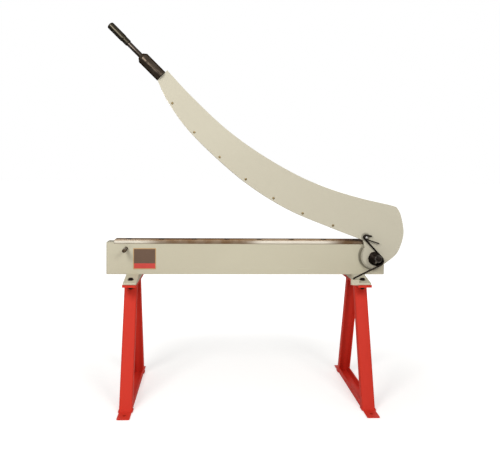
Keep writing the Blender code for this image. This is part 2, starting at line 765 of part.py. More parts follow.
def handle():
    """Socket over the arm's tongue, rod in the socket, and the grip on the rod."""
    foot, axis, _ = handle_frame()
    seat = SEAT_GAP
    nose = SOCKET_LENGTH + SOCKET_NOSE
    bore = ROD_RADIUS + SEAT_GAP
    rod_start = nose - ROD_DEPTH
    profile = [
        (0, rod_start - seat),
        (bore, rod_start - seat),
        (bore, nose),
        (SOCKET_NOSE_RADIUS, nose),
        (SOCKET_RADIUS - SOCKET_NOSE / 4, SOCKET_LENGTH + SOCKET_NOSE / 4),
        (SOCKET_RADIUS, SOCKET_LENGTH),
        (SOCKET_RADIUS, seat),
        (0, seat),
    ]
    socket = turned("handle_socket", profile, foot, axis)
    half = TONGUE_WIDTH / 2 + SEAT_GAP
    slot = box(
        "tongue_slot",
        (-half, -ARM_THICK / 2 - SEAT_GAP, -OVERRUN),
        (half, ARM_THICK / 2 + SEAT_GAP, TONGUE_LENGTH + SEAT_GAP),
    )
    slot.location = foot + axis * ((TONGUE_LENGTH + SEAT_GAP - OVERRUN) / 2)
    slot.rotation_euler = (0, math.atan2(axis.x, axis.z), 0)
    cut(socket, slot)
    cut(socket, set_screw_holes(foot, axis))
    fit(socket, BLACK_OXIDE, arm_pivot)

    rod_end = nose + ROD_SHOWN + GRIP_DEPTH
    rod_profile = [(0, rod_end), (ROD_RADIUS, rod_end), (ROD_RADIUS, rod_start), (0, rod_start)]
    rod = turned("handle_rod", rod_profile, foot, axis)
    fit(rod, BLACK_OXIDE, arm_pivot)

    base = nose + ROD_SHOWN
    top = base + GRIP_LENGTH
    bore_top = rod_end + seat
    grip_profile = [
        (0, top),
        (GRIP_RADIUS - GRIP_ROUND, top),
        (GRIP_RADIUS, top - GRIP_ROUND),
        (GRIP_RADIUS, base + GRIP_COLLAR),
        (GRIP_COLLAR_RADIUS, base + GRIP_COLLAR - GRIP_ROUND),
        (GRIP_COLLAR_RADIUS, base + GRIP_ROUND / 2),
        (GRIP_COLLAR_RADIUS - GRIP_ROUND / 2, base),
        (bore, base),
        (bore, bore_top),
        (0, bore_top),
    ]
    grip = turned("handle_grip", grip_profile, foot, axis)
    fit(grip, BLACK_OXIDE, arm_pivot)


def set_screws():
    """Two socket set screws that hold the tongue and the rod in the socket."""
    foot, axis, _ = handle_frame()
    places = ((SET_SCREW_LOW, ARM_THICK / 2), (SET_SCREW_HIGH, ROD_RADIUS))
    for number, (distance, held) in enumerate(places, 1):
        top = SOCKET_RADIUS - SET_SCREW_SINK
        floor = top - SET_SCREW_RADIUS
        bottom = held + SEAT_GAP
        profile = [
            (0, floor),
            (SET_SCREW_SOCKET, floor),
            (SET_SCREW_SOCKET, top),
            (SET_SCREW_RADIUS, top),
            (SET_SCREW_RADIUS, bottom),
            (0, bottom),
        ]
        centre = foot + axis * distance
        screw = turned(f"set_screw_{number}", profile, centre, FORWARD, HOLE_SIDES)
        fit(screw, BLACK_OXIDE, arm_pivot)


def washer(name, outer, inner, near, far, material):
    """A washer on the pivot, between two places along it."""
    middle = (PIVOT_X, (near + far) / 2, PIVOT_HEIGHT)
    outlines = [circle(outer), circle(inner + SEAT_GAP)]
    made = plate(name, outlines, abs(far - near), middle, FACING_FRONT)
    fit(made, material, shear_origin)


def pivot_nut(name, flats, inner, near, far):
    """A hexagon nut on the pivot, between two places along it."""
    middle = (PIVOT_X, (near + far) / 2, PIVOT_HEIGHT)
    outlines = [hexagon(flats), circle(inner + SEAT_GAP)]
    made = plate(name, outlines, abs(far - near), middle, FACING_FRONT)
    bevel(made, NUT_EDGE)
    fit(made, BLACK_OXIDE, shear_origin)


def pivot():
    """The pivot pin with its bush in the arm and its washers and nuts."""
    centre = (PIVOT_X, 0, PIVOT_HEIGHT)
    flange_front = ARM_FRONT - SEAT_GAP - BUSH_FLANGE
    bore = PIN_RADIUS + SEAT_GAP
    bush_profile = [
        (bore, -flange_front),
        (BUSH_FLANGE_RADIUS, -flange_front),
        (BUSH_FLANGE_RADIUS, -ARM_FRONT + SEAT_GAP),
        (BUSH_RADIUS, -ARM_FRONT + SEAT_GAP),
        (BUSH_RADIUS, -ARM_REAR),
        (bore, -ARM_REAR),
    ]
    bush = turned("pivot_bush", bush_profile, centre, FORWARD, ROUND_STEPS, hollow=True)
    fit(bush, BRONZE, arm_pivot)

    shoulder = flange_front - SEAT_GAP
    coil_front = -SPRING_REAR - SPRING_PITCH * spring_turn_count() - WIRE_RADIUS
    step = coil_front - SEAT_GAP
    front_end = step - FRONT_WASHER - FRONT_NUT - THREAD_SHOWN
    rear_end = BED_DEPTH + REAR_WASHER + REAR_NUT + THREAD_SHOWN
    pin_profile = [
        (0, -front_end),
        (PIN_THREAD_RADIUS, -front_end),
        (PIN_THREAD_RADIUS, -step),
        (PIN_STUD_RADIUS, -step),
        (PIN_STUD_RADIUS, -shoulder),
        (PIN_RADIUS, -shoulder),
        (PIN_RADIUS, -BED_DEPTH),
        (PIN_STUD_RADIUS, -BED_DEPTH),
        (PIN_STUD_RADIUS, -rear_end),
        (0, -rear_end),
    ]
    pin = turned("pivot_pin", pin_profile, centre, FORWARD)
    fit(pin, BLACK_OXIDE, shear_origin)

    near = shoulder - SEAT_GAP
    far = near - THRUST_WASHER
    washer("pivot_thrust_washer", THRUST_WASHER_RADIUS, PIN_STUD_RADIUS, near, far, GROUND_STEEL)
    near = far - SEAT_GAP
    pivot_nut("pivot_lock_nut", LOCK_NUT_FLATS, PIN_STUD_RADIUS, near, near - LOCK_NUT)
    near = step - SEAT_GAP
    far = near - FRONT_WASHER
    washer("pivot_front_washer", FRONT_WASHER_RADIUS, PIN_THREAD_RADIUS, near, far, BLACK_OXIDE)
    near = far - SEAT_GAP
    pivot_nut("pivot_front_nut", FRONT_NUT_FLATS, PIN_THREAD_RADIUS, near, near - FRONT_NUT)
    near = BED_DEPTH + SEAT_GAP
    far = near + REAR_WASHER
    washer("pivot_rear_washer", REAR_WASHER_RADIUS, PIN_STUD_RADIUS, near, far, GROUND_STEEL)
    near = far + SEAT_GAP
    pivot_nut("pivot_rear_nut", LOCK_NUT_FLATS, PIN_STUD_RADIUS, near, near + REAR_NUT)


def hook_radius():
    """From the post's middle to the middle of the wire that hooks round it."""
    return POST_RADIUS + SEAT_GAP + WIRE_RADIUS


def upper_leg_heading():
    """The angle of the straight leg that leaves the hook's left side and meets the coil's right side."""
    between = SPRING_CENTRE - POST_CENTRE
    lean = math.asin((hook_radius() + SPRING_REAR_RADIUS) / between.length)
    return math.atan2(between.z, between.x) + lean


def lower_leg_turn():
    """The angle on the coil's front turn where the line to the lug just touches it."""
    anchor = ANCHOR_CENTRE + UP * ANCHOR_BEND_RISE
    across = anchor.x - SPRING_FRONT_CENTRE.x
    rise = anchor.z - SPRING_FRONT_CENTRE.z
    return math.atan2(rise, across) + math.acos(SPRING_FRONT_RADIUS / math.hypot(across, rise))


def spring_turns_between():
    """The coil's first and last angle, seen from the front and running clockwise."""
    start = upper_leg_heading() + math.pi / 2
    stop = lower_leg_turn()
    while stop > start:
        stop -= 2 * math.pi
    while start - stop > 2 * math.pi:
        stop += 2 * math.pi
    return start, stop - 2 * math.pi * SPRING_TURNS


def spring_turn_count():
    """How many turns the coil has, with its part turn."""
    start, stop = spring_turns_between()
    return (start - stop) / (2 * math.pi)


def ring_place(centre, radius, turn, y):
    """A place on an upright circle round a centre."""
    return Vector((centre.x + radius * math.cos(turn), y, centre.z + radius * math.sin(turn)))


def spring_hook():
    """The wire's free end, and its hook round the post down to the upper leg."""
    first = math.radians(HOOK_END)
    last = upper_leg_heading() + 3 * math.pi / 2
    hook = [
        ring_place(POST_CENTRE, hook_radius(), turn, -SPRING_REAR)
        for turn in np.linspace(first, last, HOOK_STEPS)
    ]
    free_end = hook[0] + Vector((math.sin(first), 0, -math.cos(first))) * HORN_LENGTH
    return [free_end] + hook


def spring_path():
    """The wire's centre line: hook on the post, upper leg, coil, lower leg, end in the lug."""
    start, stop = spring_turns_between()
    steps = round(spring_turn_count() * SPRING_POINTS)
    coil = []
    for step in range(steps + 1):
        share = step / steps
        radius = SPRING_REAR_RADIUS + (SPRING_FRONT_RADIUS - SPRING_REAR_RADIUS) * share
        y = -SPRING_REAR - SPRING_PITCH * spring_turn_count() * share
        centre = SPRING_CENTRE.lerp(SPRING_FRONT_CENTRE, share)
        coil.append(ring_place(centre, radius, start + (stop - start) * share, y))
    bend = ANCHOR_CENTRE + UP * ANCHOR_BEND_RISE
    bottom = ANCHOR_CENTRE - UP * (ANCHOR_HOLE_DEPTH - SEAT_GAP)
    path = spring_hook() + coil
    path += rounded_corner(coil[-1], bend, bottom, ANCHOR_BEND_RADIUS)
    path.append(bottom)
    return path


def least_gap(path, radius):
    """The least space between two stretches of a wire that aren't neighbours."""
    dense = []
    for start, stop in zip(path, path[1:]):
        count = max(2, math.ceil((stop - start).length / radius))
        dense += [start.lerp(stop, step / count) for step in range(count)]
    points = np.array([tuple(place) for place in dense + [path[-1]]])
    reach = np.concatenate([[0], np.cumsum(np.linalg.norm(np.diff(points, axis=0), axis=1))])
    apart = np.linalg.norm(points[:, None] - points[None], axis=2)
    far = np.abs(reach[:, None] - reach[None]) > SPRING_NEIGHBOUR_RADII * radius
    return apart[far].min() - 2 * radius


def torsion_spring():
    """The conical spring that lifts the arm, wound from one unbroken wire."""
    path = spring_path()
    spring = wire("torsion_spring", path, WIRE_RADIUS)
    fit(spring, BLACK_OXIDE, shear_origin)
    print("least gap of the spring to itself, mm:", round(least_gap(path, WIRE_RADIUS) * 1000, 2))


def keeper_y():
    """How far forward the keeper's wire lies, in front of the spring's hook."""
    return -SPRING_REAR - WIRE_RADIUS - SEAT_GAP - KEEPER_WIRE


def spring_post():
    """The post on the arm that the spring's hook pushes, with a collar at its foot."""
    seat = -ARM_FRONT + SEAT_GAP
    front = -keeper_y() + KEEPER_WIRE + POST_TIP
    profile = [
        (0, front),
        (POST_RADIUS - POST_NECK, front),
        (POST_RADIUS, front - POST_NECK),
        (POST_RADIUS, seat + POST_COLLAR),
        (POST_COLLAR_RADIUS, seat + POST_COLLAR),
        (POST_COLLAR_RADIUS, seat),
        (POST_SHANK_RADIUS, seat),
        (POST_SHANK_RADIUS, -ARM_REAR + SEAT_GAP),
        (0, -ARM_REAR + SEAT_GAP),
    ]
    post = turned("spring_post", profile, POST_CENTRE, FORWARD)
    fit(post, BLACK_OXIDE, arm_pivot)


def spring_keeper():
    """A wire clip round the post in front of the hook, with a straight tail to the right."""
    radius = POST_RADIUS + SEAT_GAP + KEEPER_WIRE
    turns = np.linspace(math.radians(KEEPER_FROM), math.radians(KEEPER_TO), KEEPER_STEPS)
    path = [ring_place(POST_CENTRE, radius, turn, keeper_y()) for turn in turns]
    last = math.radians(KEEPER_TO)
    path.append(path[-1] + Vector((-math.sin(last), 0, math.cos(last))) * KEEPER_TAIL)
    keeper = wire("spring_keeper", path, KEEPER_WIRE)
    fit(keeper, BLACK_OXIDE, arm_pivot)


def stop_pin():
    """The round pin in the bed's face that the lowered arm comes down on."""
    tip = STOP_RADIUS / 8
    profile = [
        (0, STOP_LENGTH),
        (STOP_RADIUS - tip, STOP_LENGTH),
        (STOP_RADIUS, STOP_LENGTH - tip),
        (STOP_RADIUS, -STOP_DEPTH),
        (0, -STOP_DEPTH),
    ]
    pin = turned("stop_pin", profile, (STOP_INSET, 0, STOP_HEIGHT), FORWARD)
    fit(pin, BRONZE, shear_origin)


def channel(name, start, stop, opening, depth):
    """A folded sheet channel between two places, open towards the given way."""
    heading = (stop - start).normalized()
    half = STAND_WIDTH / 2
    bend = STAND_BEND
    arc = np.linspace(0, math.pi / 2, STAND_BEND_STEPS + 1)
    side = [(half - bend + bend * math.sin(turn), bend - bend * math.cos(turn)) for turn in arc]
    section = [(half, depth)] + side[::-1]
    section += [(-across, inward) for across, inward in side] + [(-half, depth)]
    if Vector((0, heading.z, -heading.y)).dot(opening) > 0:
        section.reverse()
    shape = bmesh.new()
    rows = []
    for end in (start, stop):
        row = [shape.verts.new(end + Vector((across, 0, 0)) + opening * inward) for across, inward in section]
        rows.append(row)
    for left in range(len(section) - 1):
        shape.faces.new((rows[0][left], rows[0][left + 1], rows[1][left + 1], rows[1][left]))
    mesh = bpy.data.meshes.new(name)
    shape.to_mesh(mesh)
    shape.free()
    made = linked(name, mesh, shear_parts)
    sheet = made.modifiers.new("sheet", "SOLIDIFY")
    sheet.thickness = STAND_SHEET
    sheet.use_even_offset = True
    return made


def leg_line(side):
    """A leg's web from the top plate to the floor bar, its way in, and its lean."""
    top = Vector((0, STAND_MIDDLE_Y + side * LEG_TOP_SPREAD / 2, LEG_TOP))
    bottom = Vector((0, STAND_MIDDLE_Y + side * LEG_FOOT_SPREAD / 2, LEG_BOTTOM))
    heading = (bottom - top).normalized()
    inward = Vector((0, side * heading.z, -side * heading.y))
    return top, bottom, heading, inward


def stand_leg(name, centre_x, side):
    """One leaning leg, cut level at the plate and at the floor bar."""
    top, bottom, heading, inward = leg_line(side)
    shift = Vector((centre_x, 0, 0))
    overrun = heading * LEG_DEPTH
    leg = channel(name, top - overrun + shift, bottom + overrun + shift, inward, LEG_DEPTH)
    reach = 2 * LEG_DEPTH
    for end, low, high in (("top", LEG_TOP, LEG_TOP + reach), ("foot", LEG_BOTTOM - reach, LEG_BOTTOM)):
        place = top if end == "top" else bottom
        corner_low = (centre_x - STAND_WIDTH, place.y - 2 * reach, low)
        corner_high = (centre_x + STAND_WIDTH, place.y + 2 * reach, high)
        cut(leg, box(f"{name}_{end}_cut", corner_low, corner_high))
    fit(leg, RED_ENAMEL, shear_origin)


def floor_bar(name, centre_x):
    """The channel on the floor, with flat drilled tabs beyond the legs."""
    floor = -STAND_HEIGHT
    ends = [Vector((centre_x, STAND_MIDDLE_Y + side * BAR_LENGTH / 2, floor)) for side in (-1, 1)]
    bar = channel(name, ends[0], ends[1], UP, BAR_DEPTH)
    for side, end in zip((-1, 1), ("front", "rear")):
        _, bottom, heading, inward = leg_line(side)
        back = bottom + inward * (LEG_DEPTH + SEAT_GAP)
        rise = Vector((0, heading.y, heading.z)) * (2 * BAR_DEPTH / heading.z)
        upper = back + rise
        lower = back - rise * ((back.z - BAR_TOP) / rise.z)
        out = STAND_MIDDLE_Y + side * BAR_LENGTH
        outline = [(out, BAR_TOP), (lower.y, BAR_TOP), (upper.y, upper.z), (out, upper.z)]
        wedge = plate(f"{name}_{end}_wedge", [outline], 2 * STAND_WIDTH, (centre_x, 0, 0), FACING_SIDE)
        cut(bar, wedge)
    hole_y = BAR_LENGTH / 2 - BAR_HOLE_INSET
    places = [(centre_x, STAND_MIDDLE_Y + side * hole_y, floor) for side in (-1, 1)]
    cut(bar, drills(f"{name}_holes", places, BAR_HOLE_RADIUS, 4 * STAND_SHEET, UP))
    fit(bar, RED_ENAMEL, shear_origin)


def rounded_rectangle(width, length, radius):
    """The outline of a rectangle with round corners."""
    outline = []
    for corner in range(4):
        middle_x = (width / 2 - radius) * (1 if corner in (0, 3) else -1)
        middle_y = (length / 2 - radius) * (1 if corner < 2 else -1)
        for turn in np.linspace(corner * math.pi / 2, (corner + 1) * math.pi / 2, BEND_POINTS):
            outline.append((middle_x + radius * math.cos(turn), middle_y + radius * math.sin(turn)))
    return outline


def top_plate(name, centre_x, foot_x):
    """The flat plate that the bed's foot is bolted to."""
    middle_x = foot_x + math.copysign(TOP_PLATE_SET_OUT, centre_x - foot_x)
    edge = rounded_rectangle(TOP_PLATE_WIDTH, TOP_PLATE_LENGTH, TOP_PLATE_ROUND)
    holes = []
    for bolt_y in FOOT_BOLT_PLACES_Y:
        place = (foot_x - middle_x, bolt_y - STAND_MIDDLE_Y)
        holes.append(circle(FOOT_BOLT_RADIUS + SEAT_GAP, place, HOLE_SIDES))
    middle = (middle_x, STAND_MIDDLE_Y, PLATE_TOP - TOP_PLATE_THICK / 2)
    made = plate(name, [edge] + holes, TOP_PLATE_THICK, middle, FACING_UP)
    fit(made, RED_ENAMEL, shear_origin)


def foot_bolt(name, x, y):
    """A socket head bolt down through the foot and the top plate."""
    seat = -FOOT_SPOT_DEPTH + SEAT_GAP
    top = seat + FOOT_BOLT_HEAD
    bottom = PLATE_BOTTOM - SEAT_GAP - FOOT_NUT - FOOT_BOLT_END
    profile = [
        (0, top),
        (FOOT_BOLT_HEAD_RADIUS - NUT_EDGE, top),
        (FOOT_BOLT_HEAD_RADIUS, top - NUT_EDGE),
        (FOOT_BOLT_HEAD_RADIUS, seat),
        (FOOT_BOLT_RADIUS, seat),
        (FOOT_BOLT_RADIUS, bottom),
        (0, bottom),
    ]
    bolt = turned(name, profile, (x, y, 0), UP, HOLE_SIDES)
    socket_middle = (x, y, top)
    socket = plate(f"{name}_socket", [hexagon(FOOT_BOLT_SOCKET_FLATS)], 2 * FOOT_BOLT_SOCKET_DEPTH,
                   socket_middle, FACING_UP)
    cut(bolt, socket)
    fit(bolt, BLACK_OXIDE, shear_origin)


def foot_nut(name, x, y):
    """The nut under the top plate."""
    middle = (x, y, PLATE_BOTTOM - SEAT_GAP - FOOT_NUT / 2)
    outlines = [hexagon(FOOT_NUT_FLATS), circle(FOOT_BOLT_RADIUS + SEAT_GAP, sides=HOLE_SIDES)]
    nut = plate(name, outlines, FOOT_NUT, middle, FACING_UP)
    bevel(nut, NUT_EDGE)
    fit(nut, BLACK_OXIDE, shear_origin)


def stand(side, centre_x, foot_x):
    """One trestle with its top plate, two legs, floor bar, bolts and nuts."""
    top_plate(f"{side}_top_plate", centre_x, foot_x)
    stand_leg(f"{side}_front_leg", centre_x, -1)
    stand_leg(f"{side}_rear_leg", centre_x, 1)
    floor_bar(f"{side}_floor_bar", centre_x)
    for end, bolt_y in zip(("front", "rear"), FOOT_BOLT_PLACES_Y):
        foot_bolt(f"{side}_{end}_foot_bolt", foot_x, bolt_y)
        foot_nut(f"{side}_{end}_foot_nut", foot_x, bolt_y)


lower_holes = lower_screw_holes()
bed_casting(lower_holes)
lower_blade(lower_holes)
lower_screws()
arm_plate()
upper_blade()
arm_screws()
handle()
set_screws()
pivot()
torsion_spring()
spring_post()
spring_keeper()
stop_pin()
for stand_side, stand_x, stand_foot_x in zip(("left", "right"), STAND_CENTRES, FOOT_CENTRES):
    stand(stand_side, stand_x, stand_foot_x)
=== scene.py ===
"""The look of a floor-standing guillotine shear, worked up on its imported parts."""

import json
import math

import bmesh
import bpy
import numpy as np
from mathutils import Matrix, Vector

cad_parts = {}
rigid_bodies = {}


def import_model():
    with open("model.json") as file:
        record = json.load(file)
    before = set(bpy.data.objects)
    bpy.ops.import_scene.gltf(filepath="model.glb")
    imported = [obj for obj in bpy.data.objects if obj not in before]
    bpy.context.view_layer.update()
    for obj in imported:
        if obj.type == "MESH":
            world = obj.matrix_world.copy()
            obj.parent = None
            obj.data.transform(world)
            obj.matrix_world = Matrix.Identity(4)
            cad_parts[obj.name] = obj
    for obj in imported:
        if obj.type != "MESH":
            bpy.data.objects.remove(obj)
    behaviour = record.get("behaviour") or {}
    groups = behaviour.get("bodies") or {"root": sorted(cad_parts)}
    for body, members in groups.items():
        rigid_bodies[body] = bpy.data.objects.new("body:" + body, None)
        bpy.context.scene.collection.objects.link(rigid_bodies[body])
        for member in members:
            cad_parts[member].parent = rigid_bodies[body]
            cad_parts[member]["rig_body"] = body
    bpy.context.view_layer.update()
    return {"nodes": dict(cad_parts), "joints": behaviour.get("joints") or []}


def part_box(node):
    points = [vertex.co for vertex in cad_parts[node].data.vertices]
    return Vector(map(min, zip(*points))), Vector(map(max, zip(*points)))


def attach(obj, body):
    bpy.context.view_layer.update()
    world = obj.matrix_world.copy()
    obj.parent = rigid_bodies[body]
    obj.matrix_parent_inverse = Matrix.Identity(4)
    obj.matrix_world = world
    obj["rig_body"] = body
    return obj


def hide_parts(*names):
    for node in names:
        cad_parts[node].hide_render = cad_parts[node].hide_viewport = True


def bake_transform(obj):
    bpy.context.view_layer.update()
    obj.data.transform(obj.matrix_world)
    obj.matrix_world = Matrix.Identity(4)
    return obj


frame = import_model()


# The two trestles, in red gloss enamel on 4 mm sheet. Each has a flat top plate, two
# folded channel legs that lean out, and a folded floor bar with a drilled tab at each end.
RED = (0.665, 0.040, 0.022, 1)
RED_SHADE = (0.560, 0.031, 0.018, 1)
SHEET_EDGE = 0.0006
PLATE_EDGE = 0.0010
FLAT_ENOUGH = math.radians(0.4)
SAME_PLACE = 0.00001
PEEL = 0.000012
SHEET_LUMPS = 0.00006
DARKENED_SHARE = 0.52


class Signal:
    """An output socket of a material, so that shader maths is written as Python expressions."""

    def __init__(self, tree, socket):
        self.tree = tree
        self.socket = socket

    def add(self, kind, settings, sockets, output=0):
        """Adds any node: its settings go in first, then its sockets' values or links."""
        made = self.tree.nodes.new("ShaderNode" + kind)
        for setting, value in settings.items():
            setattr(made, setting, value)
        for place, value in sockets.items():
            if isinstance(value, Signal):
                self.tree.links.new(value.socket, made.inputs[place])
            else:
                made.inputs[place].default_value = value
        return Signal(self.tree, made.outputs[output])

    def maths(self, operation, first, second):
        """One step of arithmetic on two values or signals."""
        return self.add("Math", {"operation": operation}, {0: first, 1: second})

    def __add__(self, other):
        return self.maths("ADD", self, other)

    def __sub__(self, other):
        return self.maths("SUBTRACT", self, other)

    def __rsub__(self, other):
        return self.maths("SUBTRACT", other, self)

    def __mul__(self, other):
        return self.maths("MULTIPLY", self, other)

    __radd__ = __add__
    __rmul__ = __mul__

    def noise(self, scale, detail=2.0):
        """Soft noise about one half at this place, with so many lumps in a metre."""
        return self.add("TexNoise", {}, {"Vector": self, "Scale": scale, "Detail": detail})

    def stretched(self, x, y, z):
        """The place with its three measures multiplied, which draws a pattern out along one."""
        return self.add("VectorMath", {"operation": "MULTIPLY"}, {0: self, 1: (x, y, z)})

    def larger(self, other):
        """The larger of this and another signal."""
        return self.maths("MAXIMUM", self, other)

    def moved(self, shift):
        """The place moved by a shift in metres."""
        return self.add("VectorMath", {"operation": "ADD"}, {0: self, 1: shift})

    def measure(self, number):
        """One of the place's three measures in metres."""
        return self.add("SeparateXYZ", {}, {0: self}, number)

    def eased(self, low, high):
        """0 below low, 1 above high, and a smooth rise between."""
        sockets = {"Value": self, "From Min": low, "From Max": high}
        return self.add("MapRange", {"interpolation_type": "SMOOTHSTEP"}, sockets)

    def between(self, first, second):
        """The first colour where this is 0, the second where it is 1."""
        return self.add("Mix", {"data_type": "RGBA"}, {0: self, 6: first, 7: second}, 2)

    def relief(self):
        """The surface normal that a height in metres gives."""
        return self.add("Bump", {}, {"Height": self, "Distance": 1.0})


def blank_finish(name):
    """A new material, its shader, and the place on the piece that its patterns read."""
    made = bpy.data.materials.new(name)
    made.use_nodes = True
    shader = made.node_tree.nodes["Principled BSDF"]
    place = made.node_tree.nodes.new("ShaderNodeTexCoord")
    return made, shader, Signal(made.node_tree, place.outputs["Object"])


def feed(shader, sockets):
    """Sets the shader's sockets, or links the signals that vary over the surface."""
    for name, value in sockets.items():
        if isinstance(value, Signal):
            value.tree.links.new(value.socket, shader.inputs[name])
        else:
            shader.inputs[name].default_value = value


def enamel(name, colour, shade, lumps, roughness, shade_and_grime=None):
    """Sprayed enamel: its colour drifts to the shade, over a fine peel and lumps in metres.
    The mask, where given, gives the share of a darker colour at a place: painted shade, with a little
    grease."""
    made, shader, place = blank_finish(name)
    drift = place.noise(2.5).eased(0.35, 0.65)
    dust = place.noise(90.0, 5.0).eased(0.55, 0.75)
    tone = (drift * 0.35 + dust * 0.15).between(colour, shade)
    if shade_and_grime:
        # Painted shade, with a little grease: the enamel is darkened where the mask is high.
        darkened = [part * DARKENED_SHARE for part in shade[:3]] + [1]
        tone = (shade_and_grime(place) * (0.7 + 0.3 * dust)).between(tone, darkened)
    skin = place.noise(420.0, 1.0) * PEEL + place.noise(38.0, 3.0) * lumps
    feed(shader, {
        "Base Color": tone,
        "Roughness": roughness + 0.08 * drift + 0.10 * dust,
        "Normal": skin.relief(),
        "Specular IOR Level": 0.12,
    })
    return made


def settle(piece, finish, nodes):
    """Gives a piece its finish and lets it stand for nodes, on the body that carries them."""
    piece.data.materials.clear()
    piece.data.materials.append(finish)
    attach(piece, frame["nodes"][nodes[0]]["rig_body"])
    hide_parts(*nodes)
    return piece


def dressed(node, finish, edge, crease=40.0):
    """A copy of a node with its facets merged, its edges rounded and its curves smooth."""
    shape = bmesh.new()
    shape.from_mesh(frame["nodes"][node].data)
    bmesh.ops.remove_doubles(shape, verts=shape.verts, dist=SAME_PLACE)
    bmesh.ops.dissolve_limit(shape, angle_limit=FLAT_ENOUGH, verts=shape.verts, edges=shape.edges)
    mesh = bpy.data.meshes.new(node + "_finished")
    shape.to_mesh(mesh)
    shape.free()
    mesh.shade_smooth()
    mesh.set_sharp_from_angle(angle=math.radians(crease))
    piece = bpy.data.objects.new(node + "_finished", mesh)
    bpy.context.scene.collection.objects.link(piece)
    if edge:
        rounding = piece.modifiers.new("rounding", "BEVEL")
        rounding.width = edge
        rounding.segments = 2
        rounding.limit_method = "ANGLE"
        rounding.angle_limit = math.radians(crease)
        rounding.harden_normals = True
    else:
        weighting = piece.modifiers.new("weighting", "WEIGHTED_NORMAL")
        weighting.keep_sharp = True
    return settle(piece, finish, [node])


red_enamel = enamel("red_gloss_enamel", RED, RED_SHADE, SHEET_LUMPS, 0.48)
for side in ("left", "right"):
    dressed(f"{side}_top_plate", red_enamel, PLATE_EDGE)
    dressed(f"{side}_front_leg", red_enamel, SHEET_EDGE)
    dressed(f"{side}_rear_leg", red_enamel, SHEET_EDGE)
    dressed(f"{side}_floor_bar", red_enamel, SHEET_EDGE)


# The weld beads that hold each leg to its top plate and its floor bar. They are laid by
# hand, so they ripple, and the red enamel covers them.
BEAD = 0.0026
BEAD_RIPPLE = 0.0042
BEAD_WAVE = 0.14
BEAD_STEP = 0.0007
BEAD_SIDES = 10
BEAD_CLOSING = 4
BEAD_CREASE = 80.0
LEG_CHANNEL = 0.0337


def unit(vectors):
    """The vectors made one long."""
    return vectors / np.linalg.norm(vectors, axis=-1, keepdims=True)


def swept(path, girth, across, sides):
    """Points of a round wire: at each place of the path a circle of that girth, square to
    the path's heading, with one diameter in the plane of the heading and across."""
    heading = unit(np.gradient(path, axis=0))
    aside = unit(np.cross(heading, np.array(across, float)))
    over = np.cross(aside, heading)
    turn = np.linspace(0, 2 * math.pi, sides, endpoint=False)[None, :, None]
    ring = aside[:, None] * np.cos(turn) + over[:, None] * np.sin(turn)
    return path[:, None] + np.asarray(girth)[:, None, None] * ring


def surface(name, grid, crease=35.0):
    """A closed skin through a grid of points, whose rows run round and whose ends are closed."""
    rows, sides = grid.shape[:2]
    row, column = np.meshgrid(np.arange(rows - 1), np.arange(sides), indexing="ij")
    after = (column + 1) % sides
    near = row * sides
    far = (row + 1) * sides
    corners = [near + column, near + after, far + after, far + column]
    faces = np.stack(corners, axis=-1).reshape(-1, 4)
    mesh = bpy.data.meshes.new(name)
    mesh.from_pydata(grid.reshape(-1, 3).tolist(), [], faces.tolist())
    shape = bmesh.new()
    shape.from_mesh(mesh)
    bmesh.ops.remove_doubles(shape, verts=shape.verts, dist=SAME_PLACE / 10)
    bmesh.ops.recalc_face_normals(shape, faces=shape.faces)
    shape.to_mesh(mesh)
    shape.free()
    mesh.shade_smooth()
    mesh.set_sharp_from_angle(angle=math.radians(crease))
    piece = bpy.data.objects.new(name, mesh)
    bpy.context.scene.collection.objects.link(piece)
    return piece


def along_path(corners, step):
    """Points every step along straight runs between the corners."""
    corners = np.array(corners, float)
    reach = np.concatenate([[0], np.cumsum(np.linalg.norm(np.diff(corners, axis=0), axis=1))])
    places = np.linspace(0, reach[-1], max(3, round(reach[-1] / step)))
    return np.stack([np.interp(places, reach, corners[:, axis]) for axis in range(3)], axis=1)


def weld_bead(name, corners, body):
    """A rippled bead along the corners: its girth rises and falls with a full wave each ripple."""
    path = along_path(corners, BEAD_STEP)
    count = len(path)
    ripple = np.abs(np.sin(np.arange(count) * BEAD_STEP * math.pi / BEAD_RIPPLE))
    closing = np.minimum(1, np.minimum(np.arange(count), np.arange(count)[::-1]) / BEAD_CLOSING)
    girth = BEAD * (1 - BEAD_WAVE + BEAD_WAVE * ripple) * np.sqrt(1 - (1 - closing) ** 2)
    piece = surface(name, swept(path, girth, (0, 0, 1), BEAD_SIDES), BEAD_CREASE)
    piece.data.materials.append(red_enamel)
    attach(piece, body)


def leg_welds(side, end):
    """Beads round the outside of one leg, under its top plate and on its floor bar."""
    low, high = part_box(f"{side}_{end}_leg")
    outward = -1 if end == "front" else 1
    foot_y = low.y if end == "front" else high.y
    head_y = high.y - LEG_CHANNEL if end == "front" else low.y + LEG_CHANNEL
    for place, y, z in (("foot", foot_y, low.z), ("head", head_y, high.z)):
        inner = y - outward * LEG_CHANNEL
        left = low.x - BEAD / 3
        right = high.x + BEAD / 3
        outer = y + outward * BEAD / 3
        corners = [(left, inner, z), (left, outer, z), (right, outer, z), (right, inner, z)]
        weld_bead(f"{side}_{end}_{place}_weld", corners, "stand")


for side in ("left", "right"):
    for end in ("front", "rear"):
        leg_welds(side, end)


# The bed: one grey iron casting with its feet, boss and spring lug, filled, rubbed down
# and sprayed in warm grey enamel. The sand's lumps still show faintly through the paint.
CREAM = (0.590, 0.548, 0.415, 1)
CREAM_SHADE = (0.530, 0.486, 0.362, 1)
TOP_SHADE_BAND = 0.0012
SPOT_RADIUS = 0.0125
SPOT_RIM = 0.0006
SPOT_SHADE_SHARE = 1.75
EYE_RADIUS = 0.0526
EYE_SHADE_WIDTH = 0.009
CAST_LUMPS = 0.00016
CAST_CREASE = 50.0
FOOT_HEIGHT = 0.0243
FOOT_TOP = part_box("left_top_plate")[1].z + FOOT_HEIGHT

bed_low, bed_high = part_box("base_casting")
pivot = Vector(frame["joints"][0]["pos_m"])


